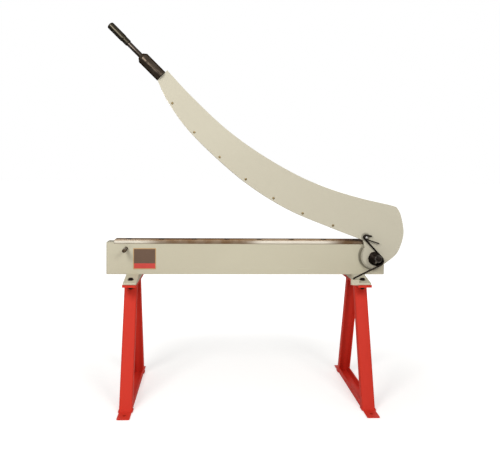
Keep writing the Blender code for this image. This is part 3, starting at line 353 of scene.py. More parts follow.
def shade_round_the_eye(place):
    """Painted shade where the arm's eye stands off the bed: a ring about the
    pivot, on the side where the arm's outline is round, down and to the left of it."""
    across = place.measure(0) - pivot.x
    rise = place.measure(2) - pivot.z
    square = across * across + rise * rise
    inner = square.eased((EYE_RADIUS - EYE_SHADE_WIDTH) ** 2, EYE_RADIUS**2)
    outer = 1 - square.eased(EYE_RADIUS**2, (EYE_RADIUS + EYE_SHADE_WIDTH) ** 2)
    side = (0 - across - rise).eased(0.0, EYE_RADIUS / 2)
    return inner.maths("MINIMUM", inner, outer).eased(0.0, 0.5) * side


def near_bolts(place, node, reach):
    """1 round the axis of an upright bolt, out to a reach in metres, and 0 beyond it."""
    low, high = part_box(node)
    across = place.measure(0) - (low.x + high.x) / 2
    along = place.measure(1) - (low.y + high.y) / 2
    square = across * across + along * along
    return 1 - square.eased(reach**2, (reach + SPOT_RIM) ** 2)


def painted_shade_on_bed(place):
    """Painted shade, with a little dirt, on the bed's top over its last millimetre, in the
    bolts' spot faces, and in a ring round the arm's eye."""
    # Painted shade: the top face and the spot faces darker than the rest of the bed.
    darker_share = place.measure(2).eased(bed_high.z - TOP_SHADE_BAND, bed_high.z - TOP_SHADE_BAND / 3)
    below = 1 - place.measure(2).eased(FOOT_TOP - TOP_SHADE_BAND, FOOT_TOP - TOP_SHADE_BAND / 3)
    for side in ("left", "right"):
        for end in ("front", "rear"):
            spot = near_bolts(place, f"{side}_{end}_foot_bolt", SPOT_RADIUS) * below
            darker_share = darker_share.larger(spot * SPOT_SHADE_SHARE)
    return darker_share.larger(shade_round_the_eye(place) * SPOT_SHADE_SHARE)


bed_enamel = enamel("bed_enamel", CREAM, CREAM_SHADE, CAST_LUMPS, 0.46, painted_shade_on_bed)
dressed("base_casting", bed_enamel, 0, CAST_CREASE)


# The bolts and nuts that hold the bed's feet on the stands: M12 socket head bolts, black
# oxide, sunk in the feet's spot faces, with chamfered nuts and the thread showing below.
BOLT_SOCKET = 0.005
BOLT_SOCKET_DEPTH = 0.006
BOLT_HEAD = 0.012
BOLT_EASE = 0.0007
BOLT_RADIUS = 0.006
BOLT_PITCH = 0.00175
BOLT_THREAD = 0.0009
NUT_FLATS = 0.019
CHAMFER_SLOPE = math.tan(math.radians(30))
NUT_FACE = 0.94
THREAD_CREASE = 70.0
ROUND_SIDES = 72
SMALL_SIDES = 36


def round_frame(axis):
    """Two directions square to an axis, the first as near to X as it can be."""
    axis = unit(np.array(axis, float))
    start = np.array((1.0, 0, 0)) if abs(axis[0]) < 0.9 else np.array((0, 0, 1.0))
    first = unit(start - axis * (start @ axis))
    return axis, first, np.cross(axis, first)


def ringed(rings, centre, axis, sides=ROUND_SIDES):
    """Points of rings on an axis. A ring has a radius, a height, a share of six corners, and
    the slope by which its height falls where those corners stand out."""
    axis, first, second = round_frame(axis)
    turn = np.linspace(0, 2 * math.pi, sides, endpoint=False)
    radius, height, corners, slope = np.array(rings, float).T[:, :, None]
    hexagon = 1 / np.cos(turn % (math.pi / 3) - math.pi / 6)
    reach = radius * (1 + corners * (hexagon - 1))
    rise = height - slope * (reach - radius)
    ring = first * np.cos(turn)[:, None] + second * np.sin(turn)[:, None]
    return np.array(centre) + reach[..., None] * ring + rise[..., None] * axis


def threaded(radius, depth, pitch, low, high, centre, axis, sides=SMALL_SIDES):
    """Points of a screw thread: the radius falls by a triangle wave of height less turn."""
    axis, first, second = round_frame(axis)
    turn = np.linspace(0, 2 * math.pi, sides, endpoint=False)
    height = np.linspace(low, high, max(3, round((high - low) / pitch * 6)))[:, None]
    wave = np.abs(((height / pitch - turn / (2 * math.pi)) % 1) * 2 - 1)
    closing = np.clip((high - height) / depth, 0, 1)
    reach = np.minimum(radius - depth * wave, radius - depth * (1 - closing))
    ring = first * np.cos(turn)[:, None] + second * np.sin(turn)[:, None]
    grid = np.array(centre) + reach[..., None] * ring + height[..., None] * axis
    ends = [np.broadcast_to(np.array(centre) + axis * place, (1, sides, 3)) for place in (low, high)]
    return np.concatenate([ends[0], grid, ends[1]])


def hexagon_rings(flats, low, high):
    """A hexagon block chamfered at both faces, with closed ends."""
    half = flats / 2
    round_part = half * NUT_FACE
    return [
        (0, low, 0, 0),
        (round_part, low, 0, 0),
        (half, low + (half - round_part) * CHAMFER_SLOPE, 1, -CHAMFER_SLOPE),
        (half, high - (half - round_part) * CHAMFER_SLOPE, 1, CHAMFER_SLOPE),
        (round_part, high, 0, 0),
        (0, high, 0, 0),
    ]


def dark_steel(name, colour, worn, roughness, metal):
    """Blackened steel: dark, slightly blotched with oil, and a little lighter where handled."""
    made, shader, place = blank_finish(name)
    blotch = place.noise(40.0, 2.0).eased(0.35, 0.75)
    grain = place.noise(900.0, 2.0)
    feed(shader, {
        "Base Color": (blotch * 0.6).between(colour, worn),
        "Roughness": roughness + 0.08 * blotch,
        "Metallic": metal,
        "Specular IOR Level": 0.15,
        "Specular Tint": (0.15, 0.14, 0.13, 1),
        "Normal": (grain * 0.000003).relief(),
    })
    return made


black_oxide = dark_steel("black_oxide", (0.016, 0.012, 0.010, 1), (0.036, 0.028, 0.024, 1), 0.36, 0.5)


def cap_rings(top, radius):
    """A round bolt head with an eased rim and a hexagon socket sunk in its top."""
    socket_floor = top - BOLT_SOCKET_DEPTH
    return [
        (0, socket_floor, 1, 0),
        (BOLT_SOCKET, socket_floor, 1, 0),
        (BOLT_SOCKET, top - BOLT_EASE / 2, 1, 0),
        (BOLT_SOCKET + BOLT_EASE / 2, top, 0.8, 0),
        (radius - BOLT_EASE, top, 0, 0),
        (radius, top - BOLT_EASE, 0, 0),
        (radius, top - BOLT_HEAD, 0, 0),
        (0, top - BOLT_HEAD, 0, 0),
    ]


for side in ("left", "right"):
    for end in ("front", "rear"):
        low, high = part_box(f"{side}_{end}_foot_bolt")
        nut_low, nut_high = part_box(f"{side}_{end}_foot_nut")
        middle = ((low.x + high.x) / 2, (low.y + high.y) / 2, 0)
        head = ringed(cap_rings(high.z, (high.x - low.x) / 2), middle, (0, 0, 1))
        bolt = surface(f"{side}_{end}_foot_bolt_head", head)
        settle(bolt, black_oxide, [f"{side}_{end}_foot_bolt"])
        stem = threaded(BOLT_RADIUS, BOLT_THREAD, BOLT_PITCH, -nut_high.z, -low.z, middle, (0, 0, -1))
        stem_piece = surface(f"{side}_{end}_foot_bolt_thread", stem, THREAD_CREASE)
        stem_piece.data.materials.append(black_oxide)
        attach(stem_piece, "stand")
        nut = ringed(hexagon_rings(NUT_FLATS, nut_low.z, nut_high.z), middle, (0, 0, 1))
        settle(surface(f"{side}_{end}_foot_nut_hexagon", nut), black_oxide, [f"{side}_{end}_foot_nut"])


# The plate on the bed's front: thin printed aluminium, glued on. It is left without
# words, with a gold rim, a bronze field and a plain red band along its foot.
PLATE_LEFT = 0.1095
PLATE_WIDTH = 0.0935
PLATE_LOW = 0.0213
PLATE_HEIGHT = 0.0865
PLATE_THICK = 0.0006
PLATE_RIM = 0.0035
PLATE_BAND = 0.024
PLATE_ROUND = 0.0025
RIM_BLUR = 0.0003
BAND_BLUR = 0.0004
GOLD = (0.58, 0.36, 0.17, 1)
BRONZE_DARK = (0.115, 0.062, 0.036, 1)
BRONZE_LIGHT = (0.210, 0.130, 0.085, 1)
BAND_RED = (0.62, 0.060, 0.045, 1)
BLADE_PROUD = 0.001

blade_low, blade_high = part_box("lower_blade")
BED_FRONT = blade_low.y + BLADE_PROUD


def rounded_plate(name, left, low, width, height, front, thick, corner):
    """A thin upright plate: one closed outline with round corners, filled in front and behind."""
    quarter = np.linspace(0, math.pi / 2, 7)
    centres = [
        (left + width - corner, low + height - corner, 0),
        (left + corner, low + height - corner, 1),
        (left + corner, low + corner, 2),
        (left + width - corner, low + corner, 3),
    ]
    outline = np.concatenate([
        np.stack([x + corner * np.cos(quarter + turns * math.pi / 2),
                  z + corner * np.sin(quarter + turns * math.pi / 2)], axis=1)
        for x, z, turns in centres
    ])
    middle = outline.mean(axis=0)
    rows = [(middle, 0), (outline, 0), (outline, -thick), (middle, -thick)]
    grid = np.stack([
        np.stack([np.broadcast_to(row[..., 0], len(outline)), np.full(len(outline), front + back),
                  np.broadcast_to(row[..., 1], len(outline))], axis=1)
        for row, back in rows
    ])
    return surface(name, grid)


def printed_plate(left, low):
    """Printed colours laid out by the place on the plate: rim, band and field."""
    made, shader, place = blank_finish("printed_plate")
    x = place.measure(0) - left
    z = place.measure(2) - low
    inside = x.eased(PLATE_RIM - RIM_BLUR, PLATE_RIM)
    for from_edge in (PLATE_WIDTH - x, z, PLATE_HEIGHT - z):
        inside = inside * from_edge.eased(PLATE_RIM - RIM_BLUR, PLATE_RIM)
    band = 1 - z.eased(PLATE_BAND, PLATE_BAND + BAND_BLUR)
    brushed = place.stretched(30.0, 1.0, 1500.0).noise(1.0, 3.0)
    field = (brushed * 0.6).between(BRONZE_DARK, BRONZE_LIGHT)
    printed = band.between(field, BAND_RED)
    feed(shader, {
        "Base Color": inside.between(GOLD, printed),
        "Roughness": 0.34 + 0.12 * brushed,
        "Metallic": 0.25 + 0.35 * (1 - inside),
        "Normal": (brushed * 0.000008).relief(),
        "Coat Weight": 0.3,
    })
    return made


plate_x = bed_low.x + PLATE_LEFT
plate_z = FOOT_TOP + PLATE_LOW
plate = rounded_plate(
    "bed_plate", plate_x, plate_z, PLATE_WIDTH, PLATE_HEIGHT, BED_FRONT, PLATE_THICK, PLATE_ROUND)
plate.data.materials.append(printed_plate(plate_x, plate_z))
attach(plate, "stand")


# The lower blade: a ground bar of tool steel let into the bed's top front edge, with a
# brown film of oil, held by eight countersunk socket screws.
SCREW_HEAD = 0.0107
SCREW_SOCKET = 0.0035
SCREW_DEPTH = 0.004
SCREW_EASE = 0.0008
LOWER_SCREWS = 8
BLADE_GRIND = (6.0, 900.0, 900.0)
BLADE_BRIGHT = (0.95, 0.88, 0.74, 1)
BLADE_OILED = (0.225, 0.134, 0.070, 1)
GREASE_AND_SHADE_BLACK = (0.012, 0.009, 0.007, 1)


def ground_steel(name, grind, bright, oiled, darker_share, black=None):
    """Surface-ground steel, with so many scratches in a metre along each of the grind's three
    measures. The first mask gives the share of the brown oiled colour at a place, and black
    that of the black used for grease and painted shade."""
    made, shader, place = blank_finish(name)
    scratches = place.stretched(*grind).noise(1.0, 4.0)
    patches = place.noise(14.0, 3.0).eased(0.35, 0.65)
    share = darker_share(place) * (0.86 + 0.14 * patches)
    tone = share.between(bright, oiled)
    if black:
        # Black for grease and painted shade over the steel.
        tone = black(place).between(tone, GREASE_AND_SHADE_BLACK)
    feed(shader, {
        "Base Color": tone,
        "Roughness": 0.30 + 0.16 * scratches,
        "Metallic": 1.0,
        "Specular Tint": (0.28, 0.22, 0.17, 1),
        "Normal": (scratches * 0.000014).relief(),
    })
    return made


HIGHLIGHT_LEFT = (-0.50, -0.35)
HIGHLIGHT_RIGHT = (-0.06, 0.04, 0.28, 0.37)
TOP_EDGE = 0.0054
TOP_DARK_SHARE = 0.80
FOOT_EDGE = 0.0036
FOOT_SHADE_SHARE = 0.60
END_SHADE = (0.27, 0.45)
END_SHADE_FACE = 0.25
END_SHADE_TOP = 0.7
REAR_DARK = (-0.034, -0.008)
REAR_DARK_TOP = 0.75
SINK_DARK_RADIUS = 0.0122
SINK_DARK_FADE = 0.0020
SINK_DARK_SMEAR = 0.82


def oil_film_and_highlights(place):
    """The share of brown oil on the lower blade: painted highlights where it is kept bright at
    the left end and right of the middle, oil between them, darker along its top edge, and
    painted shade along its foot where it meets the bed."""
    x = place.measure(0)
    # Painted highlights where the face is kept bright; painted shade along the foot.
    highlit = 1 - x.eased(*HIGHLIGHT_LEFT) + x.eased(*HIGHLIGHT_RIGHT[:2]) * (1 - x.eased(*HIGHLIGHT_RIGHT[2:]))
    top = place.measure(2).eased(blade_high.z - TOP_EDGE, blade_high.z - TOP_EDGE / 2)
    foot = 1 - place.measure(2).eased(blade_low.z + FOOT_EDGE / 3, blade_low.z + FOOT_EDGE)
    return 1 - highlit * (1 - TOP_DARK_SHARE * top - FOOT_SHADE_SHARE * foot)


def grease_and_shade_marks(place):
    """Grease and painted shade in the countersinks, by the distance from the nearest screw, whose
    places repeat evenly along the blade; darker along the rear of its top; and painted shade at
    the end beside the pivot, where the arm comes over the blade."""
    low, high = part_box("lower_blade_screw_1")
    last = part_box("lower_blade_screw_8")[0]
    pitch = (last.x - low.x) / (LOWER_SCREWS - 1)
    from_first = place.measure(0) - (low.x + high.x) / 2
    along = from_first.maths("PINGPONG", from_first, pitch / 2)
    across = (place.measure(1) - (low.y + high.y) / 2) * SINK_DARK_SMEAR
    square = along * along + across * across
    hole = 1 - square.eased(SINK_DARK_RADIUS**2, (SINK_DARK_RADIUS + SINK_DARK_FADE) ** 2)
    top = place.measure(2).eased(blade_high.z - TOP_EDGE, blade_high.z - TOP_EDGE / 2)
    rear = place.measure(1).eased(*REAR_DARK) * top * REAR_DARK_TOP
    # Painted shade at the end beside the pivot, where the arm comes over the blade.
    end = place.measure(0).eased(*END_SHADE) * (END_SHADE_FACE + END_SHADE_TOP * top)
    return hole.larger(end).larger(rear)


blade_steel = ground_steel(
    "ground_blade_steel", BLADE_GRIND, BLADE_BRIGHT, BLADE_OILED, oil_film_and_highlights, grease_and_shade_marks)
dressed("lower_blade", blade_steel, 0, CAST_CREASE)

for number in range(1, LOWER_SCREWS + 1):
    node = f"lower_blade_screw_{number}"
    low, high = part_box(node)
    middle = ((low.x + high.x) / 2, (low.y + high.y) / 2, 0)
    top = high.z
    rings = [
        (0, top - SCREW_DEPTH, 1, 0),
        (SCREW_SOCKET, top - SCREW_DEPTH, 1, 0),
        (SCREW_SOCKET, top - SCREW_EASE / 2, 1, 0),
        (SCREW_SOCKET + SCREW_EASE / 2, top, 0.7, 0),
        (SCREW_HEAD - SCREW_EASE, top, 0, 0),
        (SCREW_HEAD, top - SCREW_EASE / 2, 0, 0),
        (SCREW_HEAD / 2, top - SCREW_HEAD / 2, 0, 0),
        (0, top - SCREW_HEAD / 2, 0, 0),
    ]
    screw = surface(node + "_head", ringed(rings, middle, (0, 0, 1)))
    settle(screw, black_oxide, [node])


# The stop pin: a plain turned pin of dull bronze, driven into the bed's face, on which
# the lowered arm comes down.
PIN_EASE = 0.0012


def turned_metal(name, colour, worn, roughness, pitch):
    """Turned metal: fine rings left by the tool along the axis, in two near colours."""
    made, shader, place = blank_finish(name)
    rings = place.stretched(60.0, pitch, 60.0).noise(1.0, 2.0)
    blotch = place.noise(120.0, 3.0).eased(0.35, 0.7)
    feed(shader, {
        "Base Color": blotch.between(colour, worn),
        "Roughness": roughness + 0.15 * rings,
        "Metallic": 1.0,
        "Normal": (rings * 0.000012).relief(),
    })
    return made


bronze = turned_metal("dull_bronze", (0.045, 0.032, 0.021, 1), (0.10, 0.072, 0.045, 1), 0.38, 2500.0)


def rod_rings(profile):
    """Plain round rings from a profile of radii and heights."""
    return [(radius, height, 0, 0) for radius, height in profile]


low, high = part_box("stop_pin")
pin_radius = (high.x - low.x) / 2
pin_profile = [
    (0, -low.y),
    (pin_radius / 4, -low.y),
    (pin_radius - PIN_EASE, -low.y),
    (pin_radius - PIN_EASE / 3, -low.y - PIN_EASE / 3),
    (pin_radius, -low.y - PIN_EASE),
    (pin_radius, -high.y),
    (0, -high.y),
]
pin_middle = ((low.x + high.x) / 2, 0, (low.z + high.z) / 2)
stop_pin = surface("stop_pin_turned", ringed(rod_rings(pin_profile), pin_middle, (0, -1, 0)))
settle(stop_pin, bronze, ["stop_pin"])


# The arm: 12 mm steel plate cut to its curve, ground at the edges and sprayed in the same
# warm grey as the bed, smoother than the casting.
ARM_EDGE = 0.0009
ARM_LUMPS = 0.00004
ARM_CREASE = 35.0
POST_SHADE_RADIUS = 0.0145
POST_FADE = 1.4
EYE_SHADE_SHARE = 0.8
ARM_CREAM = (0.590, 0.550, 0.434, 1)
ARM_SHADE = (0.545, 0.504, 0.392, 1)

arm_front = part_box("arm_plate")[0].y


def painted_shade_on_arm(place):
    """Painted shade on the arm: its edges darker than its face, this rising from 0 to 1 behind the
    rounding, and the face darker round the arm's eye and round the spring's post."""
    edge = place.measure(1).eased(arm_front + ARM_EDGE / 3, arm_front + ARM_EDGE)
    low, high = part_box("spring_post")
    across = place.measure(0) - (low.x + high.x) / 2
    rise = place.measure(2) - (low.z + high.z) / 2
    square = across * across + rise * rise
    # Painted shade round the post, where the hook stands off the arm's face.
    post_shade = 1 - square.eased(POST_SHADE_RADIUS**2, (POST_SHADE_RADIUS * POST_FADE) ** 2)
    return edge.larger(post_shade).larger(shade_round_the_eye(place) * EYE_SHADE_SHARE)


arm_enamel = enamel("arm_enamel", ARM_CREAM, ARM_SHADE, ARM_LUMPS, 0.42, painted_shade_on_arm)
dressed("arm_plate", arm_enamel, ARM_EDGE, ARM_CREASE)


# The upper blade: curved tool steel behind the arm, following its lower edge, held by
# seven round-headed screws whose heads are passivated yellow.
UPPER_SCREWS = 7
ARM_BLADE_EDGE = 0.0003
ARM_BLADE_GRIND = (200.0, 900.0, 200.0)
ARM_BLADE_BRIGHT = (0.72, 0.66, 0.56, 1)
ARM_BLADE_OILED = (0.30, 0.22, 0.15, 1)
ARM_FILM = (-0.40, 0.50)
ARM_FILM_MOST = 0.7
DOME_STEPS = 7
DOME_SOCKET = 0.0016
DOME_SOCKET_DEPTH = 0.0011
DOME_FLAT = 1.2
DOME_FALL = 0.86


def even_film(place):
    """A thin film of oil that gets evenly thicker towards the pivot."""
    return place.measure(0).eased(*ARM_FILM) * ARM_FILM_MOST


arm_blade_steel = ground_steel(
    "arm_blade_steel", ARM_BLADE_GRIND, ARM_BLADE_BRIGHT, ARM_BLADE_OILED, even_film)
dressed("upper_blade", arm_blade_steel, ARM_BLADE_EDGE, ARM_CREASE)

brass = turned_metal("yellow_passivated", (0.19, 0.135, 0.062, 1), (0.36, 0.27, 0.145, 1), 0.28, 1800.0)


def dome_rings(base, radius, rise):
    """A domed head with a small hexagon socket: its height falls as a cosine from the middle."""
    out = np.linspace(DOME_SOCKET * DOME_FLAT, radius, DOME_STEPS)
    height = base + rise * np.cos((out / radius) ** 2 * math.pi / 2 * DOME_FALL)
    top = base + rise
    rings = [(0, top - DOME_SOCKET_DEPTH, 1, 0), (DOME_SOCKET, top - DOME_SOCKET_DEPTH, 1, 0)]
    rings.append((DOME_SOCKET, top - DOME_SOCKET_DEPTH / 6, 1, 0))
    rings += [(reach, rising, 0, 0) for reach, rising in zip(out, height)]
    return rings + [(radius, base, 0, 0), (0, base, 0, 0)]


for number in range(1, UPPER_SCREWS + 1):
    node = f"upper_blade_screw_{number}"
    low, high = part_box(node)
    middle = ((low.x + high.x) / 2, 0, (low.z + high.z) / 2)
    rings = dome_rings(-arm_front, (high.x - low.x) / 2, arm_front - low.y)
    settle(surface(node + "_head", ringed(rings, middle, (0, -1, 0), SMALL_SIDES)), brass, [node])


# The handle: a turned socket over the arm's tongue, a rod held in it by a set screw, and
# a turned grip on the rod. All three are blackened steel, polished a little by the hand.
HANDLE_TURN = math.radians(135.4)
SOCKET_RADIUS = 0.024
SOCKET_LENGTH = 0.104
SOCKET_NOSE = 0.012
NOSE_RADIUS = 0.014
ROD_RADIUS = 0.0105
ROD_LENGTH = 0.216
ROD_SUNK = 0.052
GRIP_START = 0.185
GRIP_LENGTH = 0.107
GRIP_RADIUS = 0.0148
COLLAR_RADIUS = 0.0134
COLLAR_LENGTH = 0.030
GRIP_EASE = 0.004
BORE_GAP = 0.0003
HANDLE_EASE = 0.0015
HANDLE_SIDES = 96
TURNED_CREASE = 50.0
SET_SCREW_RADIUS = 0.004
SET_SCREW_OUT = 0.0012
SET_SCREW_EASE = 0.0002
SOCKET_COLOUR = (0.054, 0.041, 0.030, 1)
SOCKET_WORN = (0.080, 0.063, 0.048, 1)
ROD_COLOUR = (0.052, 0.042, 0.034, 1)
ROD_WORN = (0.074, 0.061, 0.049, 1)
GRIP_COLOUR = (0.036, 0.031, 0.022, 1)
GRIP_WORN = (0.050, 0.044, 0.032, 1)

handle_finishes = {
    "handle_socket": dark_steel("socket_steel", SOCKET_COLOUR, SOCKET_WORN, 0.26, 1.0),
    "handle_rod": dark_steel("rod_steel", ROD_COLOUR, ROD_WORN, 0.24, 1.0),
    "handle_grip": dark_steel("grip_steel", GRIP_COLOUR, GRIP_WORN, 0.26, 1.0),
}
low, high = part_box("handle_rod")
handle_axis = np.array((math.cos(HANDLE_TURN), 0, math.sin(HANDLE_TURN)))
rod_start = SOCKET_LENGTH + SOCKET_NOSE - ROD_SUNK
rod_middle = np.array((low + high) / 2)
handle_foot = rod_middle - handle_axis * (rod_start + ROD_LENGTH / 2)


def eased_profile(points, ease, steps=4):
    """A profile with each inner corner rounded by a short curve that leaves and meets its
    two sides at a distance of ease, or a third of the shorter side."""
    points = np.array(points, float)
    made = [points[:1]]
    share = np.linspace(0, 1, steps + 1)[:, None]
    for before, corner, after in zip(points, points[1:], points[2:]):
        lengths = np.linalg.norm(before - corner), np.linalg.norm(after - corner)
        reach = min(ease, *(length / 3 for length in lengths))
        start = corner + (before - corner) * (reach / lengths[0])
        stop = corner + (after - corner) * (reach / lengths[1])
        made.append(start * (1 - share) ** 2 + 2 * corner * share * (1 - share) + stop * share**2)
    return np.concatenate(made + [points[-1:]])


nose = SOCKET_LENGTH + SOCKET_NOSE
socket_profile = [
    (0, BORE_GAP),
    (SOCKET_RADIUS, BORE_GAP),
    (SOCKET_RADIUS, SOCKET_LENGTH),
    (SOCKET_RADIUS - SOCKET_NOSE / 4, SOCKET_LENGTH + SOCKET_NOSE / 4),
    (NOSE_RADIUS, nose),
    (ROD_RADIUS + BORE_GAP, nose),
    (ROD_RADIUS + BORE_GAP, nose - GRIP_EASE),
    (0, nose - GRIP_EASE),
]
rod_profile = [
    (0, nose - GRIP_EASE),
    (ROD_RADIUS, nose - GRIP_EASE),
    (ROD_RADIUS, GRIP_START + GRIP_EASE),
    (0, GRIP_START + GRIP_EASE),
]
grip_profile = [
    (0, GRIP_START + GRIP_EASE / 2),
    (ROD_RADIUS + BORE_GAP, GRIP_START + GRIP_EASE / 2),
    (ROD_RADIUS + BORE_GAP, GRIP_START),
    (COLLAR_RADIUS - GRIP_EASE / 2, GRIP_START),
    (COLLAR_RADIUS, GRIP_START + GRIP_EASE / 2),
    (COLLAR_RADIUS, GRIP_START + COLLAR_LENGTH - GRIP_EASE),
    (GRIP_RADIUS, GRIP_START + COLLAR_LENGTH),
    (GRIP_RADIUS, GRIP_START + GRIP_LENGTH - GRIP_EASE),
    (GRIP_RADIUS - GRIP_EASE, GRIP_START + GRIP_LENGTH),
    (0, GRIP_START + GRIP_LENGTH),
]
handle_profiles = {
    "handle_socket": socket_profile,
    "handle_rod": rod_profile,
    "handle_grip": grip_profile,
}
for node, profile in handle_profiles.items():
    eased = eased_profile(profile, HANDLE_EASE)
    grid = ringed(rod_rings(eased), handle_foot, handle_axis, HANDLE_SIDES)
    settle(surface(node + "_turned", grid, TURNED_CREASE), handle_finishes[node], [node])

for number in (1, 2):
    node = f"set_screw_{number}"
    low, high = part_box(node)
    middle = ((low.x + high.x) / 2, 0, (low.z + high.z) / 2)
    top = -low.y + SET_SCREW_OUT
    rings = [
        (0, top - SET_SCREW_RADIUS, 1, 0),
        (SET_SCREW_RADIUS / 2, top - SET_SCREW_RADIUS, 1, 0),
        (SET_SCREW_RADIUS / 2, top, 1, 0),
        (SET_SCREW_RADIUS, top - SET_SCREW_EASE, 0, 0),
        (SET_SCREW_RADIUS, -high.y, 0, 0),
        (0, -high.y, 0, 0),
    ]
    screw = surface(node + "_turned", ringed(rings, middle, (0, -1, 0), SMALL_SIDES))
    settle(screw, black_oxide, [node])


# The pivot: a stepped pin through bed and arm, with a bronze bush in the arm's eye, a
# thrust washer and lock nut that set the play, and a washer and nut at each end.
FRONT_NUT_FLATS = 0.017
LOCK_NUT_FLATS = 0.019
PIN_THREAD = 0.005
FRONT_PITCH = 0.0015
STUD_RADIUS = 0.006
BUSH_EDGE = 0.0004

pivot_axis = (0, -1, 0)
worn_steel = turned_metal("worn_black_steel", (0.040, 0.034, 0.030, 1), (0.13, 0.115, 0.10, 1), 0.30, 900.0)
plain_steel = turned_metal("plain_washer_steel", (0.42, 0.40, 0.37, 1), (0.55, 0.53, 0.50, 1), 0.32, 1500.0)


def washer_rings(low, high, outer, inner):
    """A flat washer with eased rims, open at its bore."""
    ease = (high - low) / 6
    return [
        (inner, low, 0, 0), (outer - ease, low, 0, 0), (outer, low + ease, 0, 0),
        (outer, high - ease, 0, 0), (outer - ease, high, 0, 0), (inner, high, 0, 0), (inner, low, 0, 0),
    ]


for node, flats in (("pivot_front_nut", FRONT_NUT_FLATS), ("pivot_lock_nut", LOCK_NUT_FLATS),
                    ("pivot_rear_nut", LOCK_NUT_FLATS)):
    low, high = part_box(node)
    grid = ringed(hexagon_rings(flats, -high.y, -low.y), (pivot.x, 0, pivot.z), pivot_axis)
    settle(surface(node + "_hexagon", grid), black_oxide, [node])
for node, inner, finish in (("pivot_front_washer", PIN_THREAD, worn_steel),
                            ("pivot_thrust_washer", STUD_RADIUS, plain_steel),
                            ("pivot_rear_washer", STUD_RADIUS, plain_steel)):
    low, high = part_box(node)
    rings = washer_rings(-high.y, -low.y, (high.x - low.x) / 2, inner)
    settle(surface(node + "_turned", ringed(rings, (pivot.x, 0, pivot.z), pivot_axis)), finish, [node])
low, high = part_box("pivot_pin")
front_nut_face = -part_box("pivot_front_nut")[1].y
front_stud = threaded(
    PIN_THREAD, BOLT_THREAD, FRONT_PITCH, front_nut_face, -low.y, (pivot.x, 0, pivot.z), pivot_axis)
rear_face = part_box("pivot_rear_nut")[0].y
rear_stud = threaded(
    STUD_RADIUS, BOLT_THREAD, BOLT_PITCH, rear_face, high.y, (pivot.x, 0, pivot.z), (0, 1, 0))
settle(surface("pivot_pin_front_thread", front_stud, THREAD_CREASE), black_oxide, ["pivot_pin"])
shank_profile = [
    (0, front_nut_face),
    (STUD_RADIUS, front_nut_face),
    (STUD_RADIUS, -rear_face),
    (0, -rear_face),
]
for name, grid in (
    ("pivot_pin_rear_thread", rear_stud),
    ("pivot_pin_shank", ringed(rod_rings(shank_profile), (pivot.x, 0, pivot.z), pivot_axis)),
):
    piece = surface(name, grid, THREAD_CREASE)
    piece.data.materials.append(black_oxide)
    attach(piece, "stand")
dressed("pivot_bush", bronze, BUSH_EDGE)


# The torsion spring: oil-tempered wire of 7 mm wound in one cone round the pivot. Its upper
# end hooks round the post on the arm, and its lower leg ends in the lug on the foot.
WIRE_RADIUS = 0.0035
COIL_REAR_RADIUS = 0.0247
COIL_FRONT_RADIUS = 0.019
COIL_PITCH = 0.0081
COIL_REAR = 0.0305
COIL_TURNS = 7
COIL_SHIFT = 0.0022
COIL_DROP = 0.0076
COIL_SAG = 0.0012
COIL_PLACES = 48
WIRE_STEP = 0.0012
WIRE_SIDES = 16
WIRE_CREASE = 60.0
HOOK_PLACES = 24
POST_RADIUS = 0.0045
HOOK_FROM = math.radians(78)
HORN_LENGTH = 0.0245
LUG_INSET = 0.149
LUG_FORWARD = 0.095
LUG_DROP = 0.003
LUG_HOLE = 0.0097
LUG_BEND = 0.005
LUG_RISE = 0.0048


def circle_arc(centre, radius, turn):
    """Places on an upright circle: across by the cosine of the turn, up by its sine."""
    across = np.stack([np.cos(turn), np.zeros(len(turn)), np.sin(turn)], axis=1)
    return centre + radius * across


def corner_arc(before, corner, after, radius, steps=9):
    """An arc that rounds a corner: the circle's two radii swung from one tangent point to
    the other, each weighed by the sine of the angle still to go."""
    start = unit(before - corner)
    stop = unit(after - corner)
    half = math.acos(np.clip(start @ stop, -1, 1)) / 2
    middle = corner + unit(start + stop) * (radius / math.sin(half))
    first = corner + start * (radius / math.tan(half)) - middle
    last = corner + stop * (radius / math.tan(half)) - middle
    sweep = math.pi - 2 * half
    share = np.linspace(0, 1, steps)[:, None]
    swing = first * np.sin(sweep * (1 - share)) + last * np.sin(sweep * share)
    return middle + swing / math.sin(sweep)


def evened(path, step):
    """The path with places at even steps along it."""
    reach = np.concatenate([[0], np.cumsum(np.linalg.norm(np.diff(path, axis=0), axis=1))])
    places = np.linspace(0, reach[-1], round(reach[-1] / step))
    return np.stack([np.interp(places, reach, path[:, axis]) for axis in range(3)], axis=1)


def wire_girth(count, radius, closing=3):
    """The wire's radius at each place, drawn in to nothing over its last few places."""
    from_end = np.minimum(np.arange(count), np.arange(count)[::-1]) / closing
    share = np.minimum(1, from_end)
    return radius * np.sqrt(1 - (1 - share) ** 4)


post_low, post_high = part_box("spring_post")
post = np.array(((post_low.x + post_high.x) / 2, BED_FRONT - COIL_REAR, (post_low.z + post_high.z) / 2))
coil_rear = np.array((pivot.x + COIL_SHIFT, BED_FRONT - COIL_REAR, pivot.z - COIL_DROP))
lug = np.array((bed_high.x - LUG_INSET, BED_FRONT - LUG_FORWARD, FOOT_TOP - LUG_DROP))
lug_bend = lug + np.array((0, 0, LUG_RISE))
lug_end = lug - np.array((0, 0, LUG_HOLE))

hook_radius = POST_RADIUS + BORE_GAP + WIRE_RADIUS
across, rise = coil_rear[0] - post[0], coil_rear[2] - post[2]
lean = math.asin((hook_radius + COIL_REAR_RADIUS) / math.hypot(across, rise))
leg_turn = math.atan2(rise, across) + lean
first_turn = leg_turn + math.pi / 2
across, rise = lug_bend[0] - coil_rear[0], lug_bend[2] - coil_rear[2] + COIL_SAG
last_turn = math.atan2(rise, across) + math.acos(COIL_FRONT_RADIUS / math.hypot(across, rise))
last_turn = first_turn - (first_turn - last_turn) % (2 * math.pi) - 2 * math.pi * COIL_TURNS
wound = (first_turn - last_turn) / (2 * math.pi)

